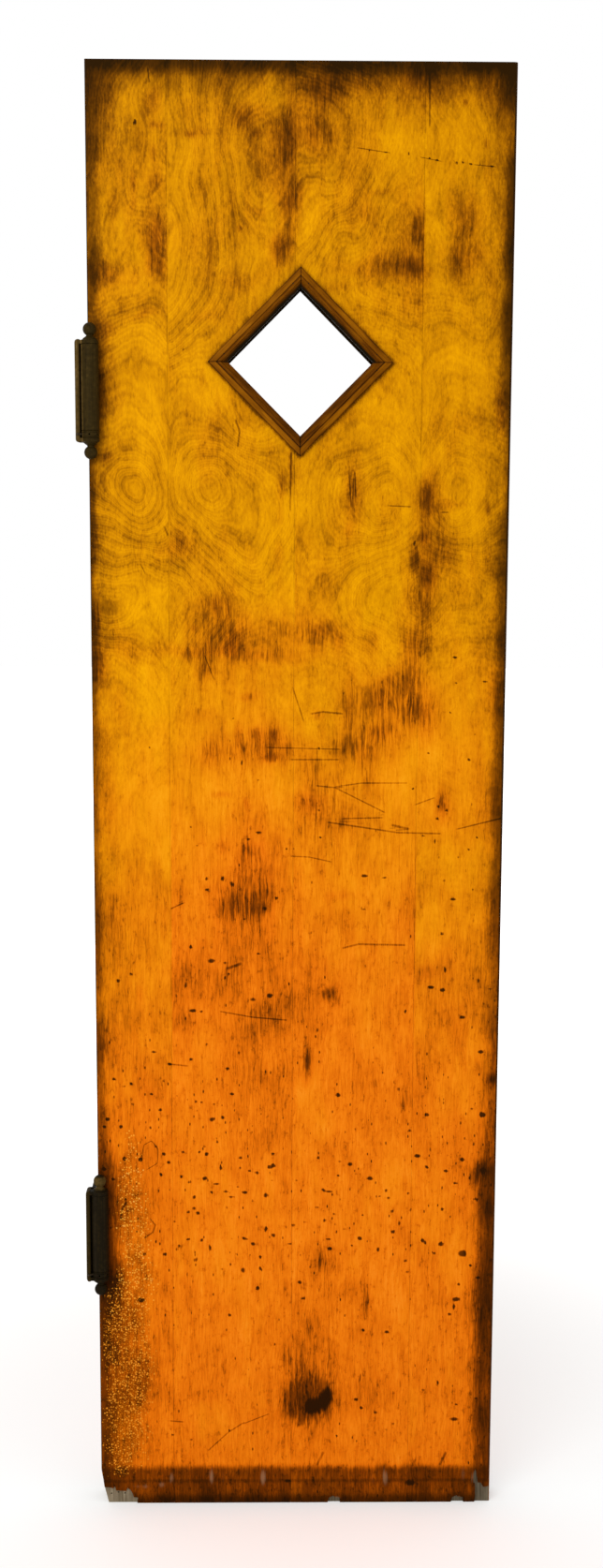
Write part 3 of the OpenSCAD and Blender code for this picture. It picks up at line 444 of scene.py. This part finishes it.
def mottling(px, py, number, seed):
    """Random light and dark places, different in each strip."""
    strip_y = py + STRIP_SHIFT * number
    mottle = noise(px / 55, strip_y / 80, seed + 6) + 0.6 * noise(px / 22, strip_y / 36, seed + 7)
    return mottle + 0.5 * noise(px / 8, strip_y / 30, seed + 14)


def front_stains_and_shadows(px, py, wx, wy, number):
    """Depth of the stains, with the painted hinge shadows among them, at points px, py, which wander to wx,
    wy.
    """
    stain_and_shade = ellipses(wx, wy, [mark for mark in STAINS_AND_HINGE_SHADOWS if mark[2] > SMALL_STAIN])
    near_x = px + SMALL_WANDER * (wx - px)
    near_y = py + SMALL_WANDER * (wy - py)
    stain_and_shade += ellipses(near_x, near_y, [mark for mark in STAINS_AND_HINGE_SHADOWS if mark[2] <= SMALL_STAIN])
    for *mark, strip in STRIP_STAINS:
        stain_and_shade += np.where(number == strip, blob(wx, wy, mark), 0.0)
    return stain_and_shade


def edge_dirt_and_shade(x, z, px, py, seed):
    """Darkness of the dirt along the leaf's four edges, with painted shadow of the hinges beside them, and of
    painted shadow around the window's moulding, darker below the window's middle.
    """
    rough = noise(px / 7, py / 18, seed + 9) + 0.5 * noise(px / 3, py / 7, seed + 10)
    patchy = noise(px / 40, py / 45, seed + 11)
    wander = 1.1 * rough + 2.5 * patchy
    sides = edge_band((x - LEAF_LOW.x) / PIXEL + wander, py, LEFT_EDGE)
    sides += edge_band((LEAF_HIGH.x - x) / PIXEL + wander, py, RIGHT_EDGE)
    ends = end_dirt((LEAF_HIGH.z - z) / PIXEL + rough, z / MM + 1.2 * rough, patchy)
    dirt = np.maximum(sides, ends) + 0.3 * np.minimum(sides, ends)
    # Painted shadow in a thin band around the moulding, darker below the window's middle
    past_moulding = ((np.abs(x) + np.abs(z - WINDOW_Z)) / math.sqrt(2) - MOULDING_REACH) / MM
    depth = np.where(z < WINDOW_Z, 0.36, 0.22)
    return dirt + depth * smooth(4.5, 0.5, past_moulding + rough)


def fields(co, front):
    """What the veneer's material reads at each corner of the mesh."""
    x, z = co[:, 0], co[:, 2]
    px, py = photo_pixel(x if front else -x, z)
    seed = FRONT_SEED if front else BACK_SEED
    wx = px + 4 * noise(px / 20, py / 34, seed) + 2 * noise(px / 7, py / 12, seed + 1)
    wy = py + 6 * noise(px / 20, py / 34, seed + 2)
    number = strip_place(x)[1]
    mottle = mottling(px, py, number, seed)
    if front:
        stain_and_shade = front_stains_and_shadows(px, py, wx, wy, number)
        ragged = 0.9 * noise(px / 3, py / 3, seed + 12)
        dents = ellipses(px + ragged, py, [(*mark, dent_depth(mark)) for mark in DENTS])
        scuff = ellipses(px, py, SCUFFS)
        craze = np.clip(1.3 * ellipses(wx, wy, CRAZE), 0, 1)
        cut, cut_near = nearest_scratch(px, py)
    else:
        stain_and_shade = BACK_STAINS * ellipses(wx, PHOTO_H - wy, STAINS_AND_HINGE_SHADOWS)
        dents, scuff, craze, cut_near = (np.zeros(len(x)) for _ in range(4))
        cut = np.full(len(x), NO_CUT)
    stain_and_shade = np.where(stain_and_shade > 0, STAIN_LIMIT * (1 - np.exp(-stain_and_shade / STAIN_LIMIT)), stain_and_shade)
    warm = smooth(*WARM_HEIGHTS, py + 60 * noise(px / 90, py / 130, seed + 8)) + 0.10 * mottle
    warm += 0.45 * np.maximum(stain_and_shade, 0)
    warm -= np.array(YELLOWER)[number] * smooth(*YELLOW_START, py) * smooth(*YELLOW_END, py)
    unmarked = smooth(0.8, 0.2, stain_and_shade)
    stain_and_shade += unmarked * (0.24 * mottle + 0.12 * noise(px / 120, py / 160, seed + 13))
    # Dirt and crazed varnish, with painted shadow beside the hinges and around the moulding
    grime_and_shade = edge_dirt_and_shade(x, z, px, py, seed) + craze * (0.23 + 0.09 * smooth(*CRAZE_DARKER, py))
    return {
        "rings": figure_rings(x, px, py, front, seed),
        "figure": figure_strength(px, py),
        "stain_and_shade": stain_and_shade,
        "grime_and_shade": np.clip(grime_and_shade, 0, 0.85),
        "warm": np.clip(warm, 0, 1),
        "craze": craze,
        "dents": np.clip(dents, 0, 1.2),
        "scuff": np.clip(scuff, 0, 1),
        "cut": np.clip(cut, -NO_CUT, NO_CUT),
        "cut_near": cut_near,
        "seam": np.min([np.abs(x - seam) for seam in SEAMS], axis=0) / MM,
        "tone": np.interp(py, TONE_HEIGHTS, TONES) + np.array(STRIP_TONES)[number],
    }


# Materials

def srgb(red, green, blue):
    """Linear colour of screen values from 0 to 255."""
    def linear(v):
        v /= 255
        return v / 12.92 if v <= 0.04045 else ((v + 0.055) / 1.055) ** 2.4
    return (linear(red), linear(green), linear(blue), 1.0)


# The varnish's colours are given at these darknesses
DARKNESSES = (0.0, 0.25, 0.45, 0.65, 0.82, 1.0, 1.25)
DARKEST = DARKNESSES[-1]


def darkness_stops(*colours):
    return [(darkness / DARKEST, srgb(*colour)) for darkness, colour in zip(DARKNESSES, colours)]


class Graph:
    """A material's node graph, written as calls that return sockets."""

    def __init__(self, name):
        self.material = bpy.data.materials.new(name)
        self.material.use_nodes = True
        self.tree = self.material.node_tree
        self.shader = self.tree.nodes["Principled BSDF"]

    def node(self, kind, **settings):
        made = self.tree.nodes.new(kind)
        for key, value in settings.items():
            setattr(made, key, value)
        return made

    def put(self, socket, value):
        if isinstance(value, bpy.types.NodeSocket):
            self.tree.links.new(value, socket)
        else:
            socket.default_value = value

    def math(self, operation, *values, clamp=False):
        made = self.node("ShaderNodeMath", operation=operation, use_clamp=clamp)
        for socket, value in zip(made.inputs, values):
            self.put(socket, value)
        return made.outputs[0]

    def add(self, a, b):
        return self.math("ADD", a, b)

    def times(self, a, b):
        return self.math("MULTIPLY", a, b)

    def total(self, *values):
        result = values[0]
        for value in values[1:]:
            result = self.add(result, value)
        return result

    def mix(self, share, first, second):
        made = self.node("ShaderNodeMix", data_type="RGBA", clamp_factor=True)
        self.put(made.inputs["Factor"], share)
        self.put(made.inputs[6], first)
        self.put(made.inputs[7], second)
        return made.outputs[2]

    def span(self, value, low, high, to_low=0.0, to_high=1.0):
        made = self.node("ShaderNodeMapRange", interpolation_type="SMOOTHSTEP")
        for socket, v in zip(made.inputs, (value, low, high, to_low, to_high)):
            self.put(socket, v)
        return made.outputs[0]

    def place(self):
        return self.node("ShaderNodeTexCoord").outputs["Object"]

    def axes(self, vector):
        return self.node_out("ShaderNodeSeparateXYZ", vector)

    def node_out(self, kind, *values):
        made = self.node(kind)
        for socket, value in zip(made.inputs, values):
            self.put(socket, value)
        return made.outputs

    def mapped(self, vector, location=(0, 0, 0), rotation=(0, 0, 0), scale=(1, 1, 1)):
        made = self.node("ShaderNodeMapping")
        for socket, value in zip(made.inputs, (vector, location, rotation, scale)):
            self.put(socket, value)
        return made.outputs[0]

    def noise(self, vector, scale, detail=2.0, roughness=0.5):
        made = self.node("ShaderNodeTexNoise")
        self.put(made.inputs["Vector"], vector)
        made.inputs["Scale"].default_value = scale
        made.inputs["Detail"].default_value = detail
        made.inputs["Roughness"].default_value = roughness
        return made.outputs["Fac"]

    def grain(self, vector, scale, detail=3.0, roughness=0.65):
        """Noise stretched along the axes, around 0."""
        return self.add(self.noise(self.mapped(vector, scale=scale), 1.0, detail, roughness), -0.5)

    def weighted(self, value, least, share, by):
        """value, weighted by least where by is 0 and by least + share where by is 1."""
        return self.times(value, self.add(self.times(by, share), least))

    def spots(self, vector, scale, left_out, size):
        """Round spots, one in each cell of a loose grid, with a share of the cells left out."""
        cells = self.node("ShaderNodeTexVoronoi", feature="F1")
        self.put(cells.inputs["Vector"], self.mapped(vector, scale=scale))
        cells.inputs["Scale"].default_value = 1.0
        chance = self.node_out("ShaderNodeSeparateColor", cells.outputs["Color"])[0]
        chosen = self.span(chance, left_out, self.add(left_out, 0.05))
        return self.times(self.span(cells.outputs["Distance"], size, size * 0.5), chosen)

    def field(self, name):
        return self.node("ShaderNodeAttribute", attribute_name=name).outputs["Fac"]

    def ramp(self, share, *stops):
        made = self.node("ShaderNodeValToRGB")
        band = made.color_ramp
        band.elements[0].position, band.elements[0].color = stops[0]
        band.elements[1].position, band.elements[1].color = stops[-1]
        for place, colour in stops[1:-1]:
            band.elements.new(place).color = colour
        self.put(made.inputs[0], share)
        return made.outputs[0]

    def bump(self, height, strength, distance):
        made = self.node("ShaderNodeBump")
        made.inputs["Strength"].default_value = strength
        made.inputs["Distance"].default_value = distance
        self.put(made.inputs["Height"], height)
        return made.outputs[0]

    def finish(self, colour, roughness, normal=None, metallic=0.0, specular=0.05):
        self.put(self.shader.inputs["Base Color"], colour)
        self.put(self.shader.inputs["Roughness"], roughness)
        self.shader.inputs["Metallic"].default_value = metallic
        self.shader.inputs["Specular IOR Level"].default_value = specular
        if normal is not None:
            self.put(self.shader.inputs["Normal"], normal)
        return self.material


# How much each kind of mark darkens the varnish
STAIN_DARK = 0.31
PORE_DARK = 0.13
SEAM_DARK = 0.07
CUT_DARK = 0.30
DENT_DARK = 0.66
PIT_DARK = 0.58
# The same for the figure's thin lines, late wood, broad bands and ripples
LINE_DARK = 0.07
LATE_DARK = 0.08
BROAD_DARK = 0.045
RIPPLE_DARK = 0.03
# Waves or cells of the veneer's patterns in a metre, along x, y and z
WOBBLE = (60, 60, 18)
FLECKS = (430, 300, 150)
LONG_GRAIN = (620, 300, 42)
PORES = (520, 300, 60)
THREADS = (330, 200, 17)
CLOUDS = (34, 34, 20)
DIRT = (130, 130, 75)
PIT_CELLS = (150, 150, 62)
# Cells of the small and of the larger painted glints on the crazed varnish
SMALL_GLINT_CELLS = (480, 480, 450)
GLINT_CELLS = (290, 290, 265)
# Colours of the varnish at each darkness, amber in the leaf's upper part and orange in its lower part
AMBER = darkness_stops(
    (254, 181, 4), (236, 160, 0), (208, 134, 0), (158, 96, 0), (116, 67, 0), (80, 44, 0), (44, 25, 2))
ORANGE = darkness_stops(
    (255, 147, 34), (246, 129, 14), (226, 109, 6), (172, 80, 1), (120, 53, 0), (80, 35, 0), (44, 20, 2))
# Heights between which the painted glints on the crazed varnish turn paler
GLINT_LOW, GLINT_HIGH = 260 * MM, 360 * MM


def veneer_figure(g, wobble, fine, cloud):
    """Darkness of the growth rings: thin lines, the late wood, broad bands and fine ripples."""
    rings = g.field("rings")
    turn = g.math("FRACT", g.total(rings, g.times(wobble, 1.3), g.times(fine, 0.18)))
    line = g.span(g.math("ABSOLUTE", g.add(turn, -0.78)), 0.26, 0.0)
    late = g.math("POWER", turn, 2.0)
    broken = g.span(g.add(g.times(fine, 0.5), cloud), -0.32, 0.17)
    figure = g.times(broken, g.add(g.times(line, LINE_DARK), g.times(late, LATE_DARK)))
    broad = g.math("SINE", g.times(g.add(rings, wobble), 2.1))
    ripple = g.math("SINE", g.times(g.add(rings, g.times(wobble, 0.5)), 21.0))
    figure = g.total(figure, g.times(broad, BROAD_DARK), g.times(ripple, RIPPLE_DARK))
    return g.times(g.field("figure"), figure)


def veneer_material(name):
    """Figured veneer under varnish. Each mark adds to one darkness, which two ramps turn into colour. Painted
    glints on the crazed varnish go over that colour.
    """
    g = Graph(name)
    place = g.place()
    z = g.axes(place)[2]
    warm, stain_and_shade = g.field("warm"), g.field("stain_and_shade")
    streaky = g.span(warm, 0.1, 0.7, 0.15, 1.0)
    wobble = g.noise(g.mapped(place, scale=WOBBLE), 1.0, 2.0, 0.6)
    shift = g.node_out("ShaderNodeCombineXYZ", g.times(wobble, 10 * MM))[0]
    bent = g.node_out("ShaderNodeVectorMath", place, shift)[0]
    flecks = g.grain(bent, FLECKS)
    fine = g.add(flecks, g.times(streaky, g.math("SUBTRACT", g.grain(bent, LONG_GRAIN), flecks)))
    pores = g.span(g.grain(bent, PORES, 2.0, 0.7), 0.08, 0.24)
    cloud = g.grain(place, CLOUDS, 4.0, 0.6)
    thread = g.grain(bent, THREADS, 3.0, 0.6)
    dirt = g.span(g.grain(place, DIRT, 5.0, 0.75), 0.0, 0.28)
    grain = g.weighted(fine, 0.46, 0.24, warm)
    # This field holds dirt and crazed varnish, with painted shadow beside the hinges and around the moulding
    grain = g.times(grain, g.span(g.field("grime_and_shade"), 0.2, 0.6, 1.0, 0.45))
    soft = g.times(stain_and_shade, g.add(g.times(fine, 0.9), 1.0))
    ragged = g.span(g.total(stain_and_shade, g.times(thread, 1.9), g.times(cloud, 0.4)), 0.45, 0.95)
    grime_and_shade = g.times(g.field("grime_and_shade"), g.add(g.times(fine, 0.25), 1.0))
    dents = g.span(g.add(g.field("dents"), g.times(fine, 0.4)), 0.30, 0.70)
    cut = g.times(g.span(g.math("ABSOLUTE", g.field("cut")), 2.2, 0.6), g.field("cut_near"))
    seam = g.times(g.span(g.field("seam"), 1.3, 0.3), g.span(cloud, -0.12, 0.1))
    dented = g.span(g.math("ABSOLUTE", g.add(z, -DENTED_Z)), 210 * MM, 110 * MM)
    pits = g.spots(place, PIT_CELLS, g.span(dented, 0.0, 1.0, 0.93, 0.68), 0.20)
    dark = g.total(
        g.field("tone"), grain, grime_and_shade, veneer_figure(g, wobble, fine, cloud),
        g.weighted(cloud, 0.38, 0.12, streaky), g.weighted(thread, 0.10, 0.16, streaky),
        g.weighted(ragged, 0.09, 0.12, streaky), g.weighted(dirt, 0.08, 0.28, warm),
        g.times(soft, STAIN_DARK), g.times(pores, PORE_DARK), g.times(seam, SEAM_DARK),
        g.times(cut, CUT_DARK), g.times(dents, DENT_DARK), g.times(g.times(pits, warm), PIT_DARK))
    dark = g.math("MULTIPLY", dark, 1 / DARKEST, clamp=True)
    colour = g.mix(warm, g.ramp(dark, *AMBER), g.ramp(dark, *ORANGE))
    # Painted glints on the crazed varnish: small orange ones, then larger golden ones, some paler higher up,
    # and kept off the dents
    left_out = g.span(g.add(g.field("craze"), g.times(cloud, 0.6)), 0.1, 1.0, 1.0, 0.30)
    small_glints = g.spots(place, SMALL_GLINT_CELLS, left_out, 0.46)
    colour = g.mix(g.times(small_glints, 0.6), colour, srgb(255, 148, 24))
    glints = g.spots(place, GLINT_CELLS, left_out, 0.44)
    glint_colour = g.mix(g.span(z, GLINT_LOW, GLINT_HIGH), srgb(246, 156, 42), srgb(255, 168, 48))
    pale = g.span(g.noise(place, 160.0, 1.0), 0.54, 0.7)
    glint_colour = g.mix(g.times(pale, g.span(z, GLINT_LOW, GLINT_HIGH, 0.0, 0.6)), glint_colour, srgb(255, 196, 92))
    colour = g.mix(g.times(glints, g.span(dents, 0.5, 0.0, 0.0, 0.9)), colour, glint_colour)
    scuff = g.span(g.add(g.field("scuff"), g.times(fine, 0.8)), 0.2, 0.8)
    colour = g.mix(g.times(scuff, 0.7), colour, srgb(156, 112, 78))
    height = g.total(g.times(fine, 0.6), g.times(pores, -0.5), g.times(g.add(dents, cut), -1.6))
    roughness = g.span(g.add(cloud, g.times(grime_and_shade, 0.4)), -0.2, 0.6, 0.36, 0.62)
    return g.finish(colour, roughness, g.bump(height, 0.3, 0.4 * MM), specular=0.015)


def moulding_material(name, lean):
    """Dark stained moulding, with painted shade at the opening of its upper sides, in its groove line and
    along its outer edge. lean is 1 where the grain runs up to the left, and -1 to the right.
    """
    g = Graph(name)
    place = g.mapped(g.place(), location=(0, 0, -WINDOW_Z))
    along = g.mapped(place, rotation=(0, lean * math.radians(45), 0))
    grain = g.grain(along, (460, 460, 30))
    cloud = g.grain(along, (70, 70, 26), 3.0, 0.6)
    x, _, z = g.axes(place)[:3]
    reach = g.times(g.add(g.math("ABSOLUTE", x), g.math("ABSOLUTE", z)), math.sqrt(0.5) / MM)
    out = g.add(reach, -CLEAR_HALF / MM)
    upper = g.span(z, -2 * MM, 4 * MM)
    # Bands of the profile, in mm outward from the opening. The band at the opening, far darker on the upper
    # sides, the groove line and the outer edge carry painted shade.
    inner = g.span(out, 12.4, 10.4)
    shaded_lip = g.span(out, 6.5, 2.0)
    quirk_shade = g.span(g.math("ABSOLUTE", g.add(out, -11.4)), 1.5, 0.4)
    rim_shadow = g.span(out, MOULDING_W / MM - 2.0, MOULDING_W / MM)
    mitre = g.span(g.math("MINIMUM", g.math("ABSOLUTE", x), g.math("ABSOLUTE", z)), 1.2 * MM, 0.2 * MM)
    nail = g.node("ShaderNodeVectorMath", operation="DISTANCE")
    g.put(nail.inputs[0], place)
    nail.inputs[1].default_value = NAIL_HOLE - Vector((0, 0, WINDOW_Z))
    hole = g.span(nail.outputs["Value"], 5.4 * MM, 3.4 * MM)
    dark = g.total(
        g.times(grain, 0.55), g.times(cloud, 0.6), g.weighted(inner, 0.20, -0.06, upper),
        g.weighted(shaded_lip, 0.06, 0.42, upper), g.weighted(quirk_shade, 0.16, -0.09, upper),
        g.times(rim_shadow, 0.30), g.times(mitre, 0.30), g.times(hole, 0.8))
    dark = g.math("ADD", dark, 0.40, clamp=True)
    colour = g.ramp(dark, (0.0, srgb(188, 116, 8)), (0.35, srgb(140, 82, 2)), (0.6, srgb(98, 51, 1)),
                    (0.8, srgb(58, 30, 2)), (1.0, srgb(22, 15, 4)))
    return g.finish(colour, g.span(cloud, -0.2, 0.3, 0.4, 0.6), g.bump(grain, 0.25, 0.4 * MM), specular=0.02)


def lining_shade_material():
    """The boards inside the window, painted almost black as shade."""
    g = Graph("lining_painted_shade")
    place = g.place()
    grain = g.noise(g.mapped(place, scale=(240, 40, 240)), 1.0, 3.0, 0.65)
    colour = g.ramp(grain, (0.3, srgb(42, 28, 8)), (0.7, srgb(18, 13, 4)))
    return g.finish(colour, 0.7, g.bump(grain, 0.25, 0.4 * MM), specular=0.0)


def bare_wood_material():
    """Greyed bare wood, varnished dark along the leaf's outer edges."""
    g = Graph("bare_wood")
    place = g.place()
    grain = g.noise(g.mapped(place, scale=(420, 420, 16)), 1.0, 3.0, 0.6)
    cloud = g.noise(place, 26.0, 3.0)
    x = g.axes(place)[0]
    lock_side = g.span(x, -150 * MM, 150 * MM)
    pale = g.mix(lock_side, srgb(164, 148, 122), srgb(118, 106, 86))
    deep = g.mix(lock_side, srgb(100, 86, 64), srgb(66, 56, 42))
    colour = g.mix(g.span(g.add(grain, g.times(cloud, 0.6)), 0.45, 1.1), pale, deep)
    edge = g.span(g.math("ABSOLUTE", x), LEAF_HIGH.x - 2 * MM, LEAF_HIGH.x - 0.3 * MM)
    worn = g.span(g.add(grain, g.times(cloud, 0.5)), 0.5, 1.0)
    varnish = g.mix(worn, srgb(150, 84, 8), srgb(76, 38, 2))
    colour = g.mix(edge, colour, varnish)
    return g.finish(colour, g.span(grain, 0.3, 0.7, 0.55, 0.75), g.bump(grain, 0.3, 0.4 * MM))


def bronze_material():
    """Darkened brass, streaked along the hinge, with painted highlights down the upper barrel's outer side
    and on the lower hinge's top ball.
    """
    g = Graph("aged_bronze")
    place = g.place()
    streak = g.grain(place, (620, 620, 16))
    cloud = g.add(g.noise(place, 190.0, 3.0, 0.6), -0.5)
    x, y, z = g.axes(place)[:3]
    # Painted highlight down the upper barrel's outer side
    barrel_highlight = g.span(g.math("ABSOLUTE", g.add(x, -BARREL_HIGHLIGHT.x)), 2.2 * MM, 1.0 * MM)
    barrel_highlight = g.times(barrel_highlight, g.span(g.math("ABSOLUTE", g.add(y, -BARREL_HIGHLIGHT.y)), 7 * MM, 4 * MM))
    strip = g.span(x, BARREL_HIGHLIGHT.x - 1 * MM, BARREL_HIGHLIGHT.x - 4 * MM)
    lower = g.span(z, LEAF_HIGH.z / 2, LEAF_HIGH.z / 2 - 100 * MM)
    barrel_highlight = g.times(barrel_highlight, g.span(lower, 1.0, 0.0))
    # Painted highlight on the lower hinge's top ball
    ball_highlight = g.span(g.math("ABSOLUTE", g.add(z, -LOWER_BALL_Z)), 11 * MM, 8 * MM)
    dark = g.total(
        g.times(streak, 0.7), g.times(cloud, 0.5), g.times(strip, -0.30), g.times(barrel_highlight, -0.42),
        g.times(lower, 0.30), g.times(ball_highlight, -0.55))
    dark = g.math("ADD", dark, 0.70, clamp=True)
    colour = g.ramp(dark, (0.0, srgb(158, 126, 74)), (0.3, srgb(92, 71, 33)), (0.6, srgb(54, 41, 13)),
                    (1.0, srgb(25, 19, 8)))
    roughness = g.span(cloud, -0.2, 0.2, 0.42, 0.62)
    return g.finish(colour, roughness, g.bump(g.add(streak, cloud), 0.15, 0.3 * MM), 0.1, 0.03)


def steel_material(name, pale, deep):
    """Steel with fine scratches and brown spots."""
    g = Graph(name)
    place = g.place()
    scratch = g.noise(g.mapped(place, scale=(900, 900, 120)), 1.0, 3.0, 0.6)
    rust = g.span(g.noise(place, 300.0, 3.0, 0.6), 0.56, 0.72)
    colour = g.mix(g.times(rust, 0.7), g.mix(scratch, deep, pale), srgb(62, 38, 20))
    return g.finish(colour, g.span(scratch, 0.3, 0.7, 0.40, 0.60), g.bump(scratch, 0.1, 0.2 * MM), 0.3, 0.1)


# Pieces

# Steps of the grids that carry the veneer's fields
FRONT_GRID = 2.5 * MM
BACK_GRID = 6 * MM


def set_material(node, material):
    mesh = NODES[node].data
    mesh.materials.clear()
    mesh.materials.append(material)


def grid_cut(bm, faces, axis, step, low, high):
    """Splits faces at every step along an axis and returns them all.

    Only what lies past the last cut is cut again.
    """
    done = []
    for place in np.arange(low + step, high - step / 4, step):
        rest = list({e for f in faces for e in (*f.verts, *f.edges)}) + faces
        split = bmesh.ops.bisect_plane(bm, geom=rest, dist=1e-6, plane_co=axis * place, plane_no=axis)
        made = [f for f in split["geom"] if isinstance(f, bmesh.types.BMFace)]
        faces = [f for f in made if max(v.co.dot(axis) for v in f.verts) > place + 1e-5]
        kept = set(faces)
        done += [f for f in made if f not in kept]
    return done + faces


def veneer_piece(node, front, step, material):
    """The node's own form, its shown face cut into a grid fine enough to carry the veneer's fields."""
    name = node.replace("veneer", "figured_veneer")
    bm = bmesh.new()
    bm.from_mesh(NODES[node].data)
    bmesh.ops.remove_doubles(bm, verts=bm.verts, dist=1e-6)
    bm.normal_update()
    low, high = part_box(node)
    outward = -1 if front else 1
    shown = [f for f in bm.faces if f.normal.y * outward > 0.9]
    shown = grid_cut(bm, shown, Vector((0, 0, 1)), step, low.z, high.z)
    grid_cut(bm, shown, Vector((1, 0, 0)), step, low.x, high.x)
    for face in bm.faces:
        face.smooth = False
    mesh = bpy.data.meshes.new(name)
    bm.to_mesh(mesh)
    bm.free()
    co = np.zeros(len(mesh.vertices) * 3)
    mesh.vertices.foreach_get("co", co)
    for key, values in fields(co.reshape(-1, 3), front).items():
        mesh.attributes.new(key, "FLOAT", "POINT").data.foreach_set("value", values.astype(np.float32))
    piece = bpy.data.objects.new(name, mesh)
    bpy.context.scene.collection.objects.link(piece)
    mesh.materials.append(material)
    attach(piece, "door")
    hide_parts(node)


def dress():
    veneer = veneer_material("figured_veneer")
    for k in (1, 2, 3, 4):
        veneer_piece(f"front_veneer_{k}", True, FRONT_GRID, veneer)
        veneer_piece(f"back_veneer_{k}", False, BACK_GRID, veneer)
    # The linings are painted almost black as shade
    lining = lining_shade_material()
    rising = moulding_material("moulding_rising", -1)
    falling = moulding_material("moulding_falling", 1)
    for side, material in (("upper_right", falling), ("lower_left", falling),
                           ("upper_left", rising), ("lower_right", rising)):
        for part in ("front_moulding_", "back_moulding_"):
            set_material(part + side, material)
        set_material("lining_" + side, lining)
    bare = bare_wood_material()
    for node in ("hinge_stile", "lock_stile", "top_rail", "bottom_rail", "core"):
        set_material(node, bare)
    bronze = bronze_material()
    steel = steel_material("dull_steel", srgb(150, 145, 135), srgb(96, 92, 84))
    blackened = steel_material("blackened_steel", srgb(58, 46, 30), srgb(34, 26, 14))
    for row in frame["record"]["subparts"]:
        node, slot = row["node"], row["material_slot"]
        if slot == "bronze":
            set_material(node, bronze)
        elif node.endswith(("_brads", "_tension_pin", "_spindle")):
            set_material(node, blackened)
        elif slot == "steel":
            set_material(node, steel)


# Stage

FLOOR_SIZE = 30
FLOOR_COLOUR = (0.82, 0.82, 0.81, 1.0)
# How far from the part the floor turns white, so that the shadow near it stays
WHITE_FROM, WHITE_AT = 0.5, 2.5
WHITE = (1, 1, 1, 1)
# Strength of the world's light on the part. The camera sees a strength of 1
WORLD_LIGHT = 0.75
# The key light: its place, its aim, its width and height, and its power
KEY_LIGHT = ((-1.4, -3.2, 2.5), (0, 0, 0.95), (2.6, 2.6), 52)


def floor():
    bpy.ops.mesh.primitive_plane_add(size=FLOOR_SIZE, location=(0, 0, 0))
    plane = bpy.context.object
    plane.name = "floor"
    g = Graph("pale_floor")
    path = g.node("ShaderNodeLightPath").outputs
    seen = g.add(path["Is Camera Ray"], g.add(path["Is Glossy Ray"], path["Is Transmission Ray"]))
    away = g.node("ShaderNodeVectorMath", operation="LENGTH")
    g.put(away.inputs[0], g.place())
    glow = g.span(away.outputs["Value"], WHITE_FROM, WHITE_AT, 0.3, 1.0)
    g.put(g.shader.inputs["Emission Strength"], g.times(seen, glow))
    g.shader.inputs["Emission Color"].default_value = WHITE
    plane.data.materials.append(g.finish(FLOOR_COLOUR, 0.8, specular=0.0))


def light(name, place, aim, size, power):
    lamp = bpy.data.lights.new(name, "AREA")
    lamp.shape = "RECTANGLE"
    lamp.size, lamp.size_y = size
    lamp.energy = power
    made = bpy.data.objects.new(name, lamp)
    made.location = place
    made.rotation_euler = (Vector(aim) - Vector(place)).to_track_quat("-Z", "Y").to_euler()
    bpy.context.scene.collection.objects.link(made)


def world():
    made = bpy.data.worlds.new("studio")
    bpy.context.scene.world = made
    made.use_nodes = True
    tree = made.node_tree
    path = tree.nodes.new("ShaderNodeLightPath")
    seen = tree.nodes.new("ShaderNodeMath")
    seen.operation = "ADD"
    shown = tree.nodes.new("ShaderNodeMath")
    shown.operation = "ADD"
    shown.use_clamp = True
    tree.links.new(path.outputs["Is Camera Ray"], seen.inputs[0])
    tree.links.new(path.outputs["Is Glossy Ray"], seen.inputs[1])
    tree.links.new(seen.outputs[0], shown.inputs[0])
    tree.links.new(path.outputs["Is Transmission Ray"], shown.inputs[1])
    strength = tree.nodes.new("ShaderNodeMix")
    strength.inputs["A"].default_value = WORLD_LIGHT
    strength.inputs["B"].default_value = 1.0
    tree.links.new(shown.outputs[0], strength.inputs["Factor"])
    back = tree.nodes["Background"]
    back.inputs["Color"].default_value = WHITE
    tree.links.new(strength.outputs["Result"], back.inputs["Strength"])


def camera():
    made = bpy.data.cameras.new("camera")
    made.sensor_fit = "VERTICAL"
    made.sensor_height = SENSOR_MM
    made.lens = FOCAL_PX / PHOTO_H * SENSOR_MM
    holder = bpy.data.objects.new("camera", made)
    turn = Matrix((RIGHT, UP, -FORWARD)).transposed().to_4x4()
    holder.matrix_world = Matrix.Translation(CAMERA_PLACE) @ turn
    bpy.context.scene.collection.objects.link(holder)
    bpy.context.scene.camera = holder


dress()
floor()
light("key", *KEY_LIGHT)
world()
camera()
bpy.context.scene.view_settings.view_transform = "Standard"
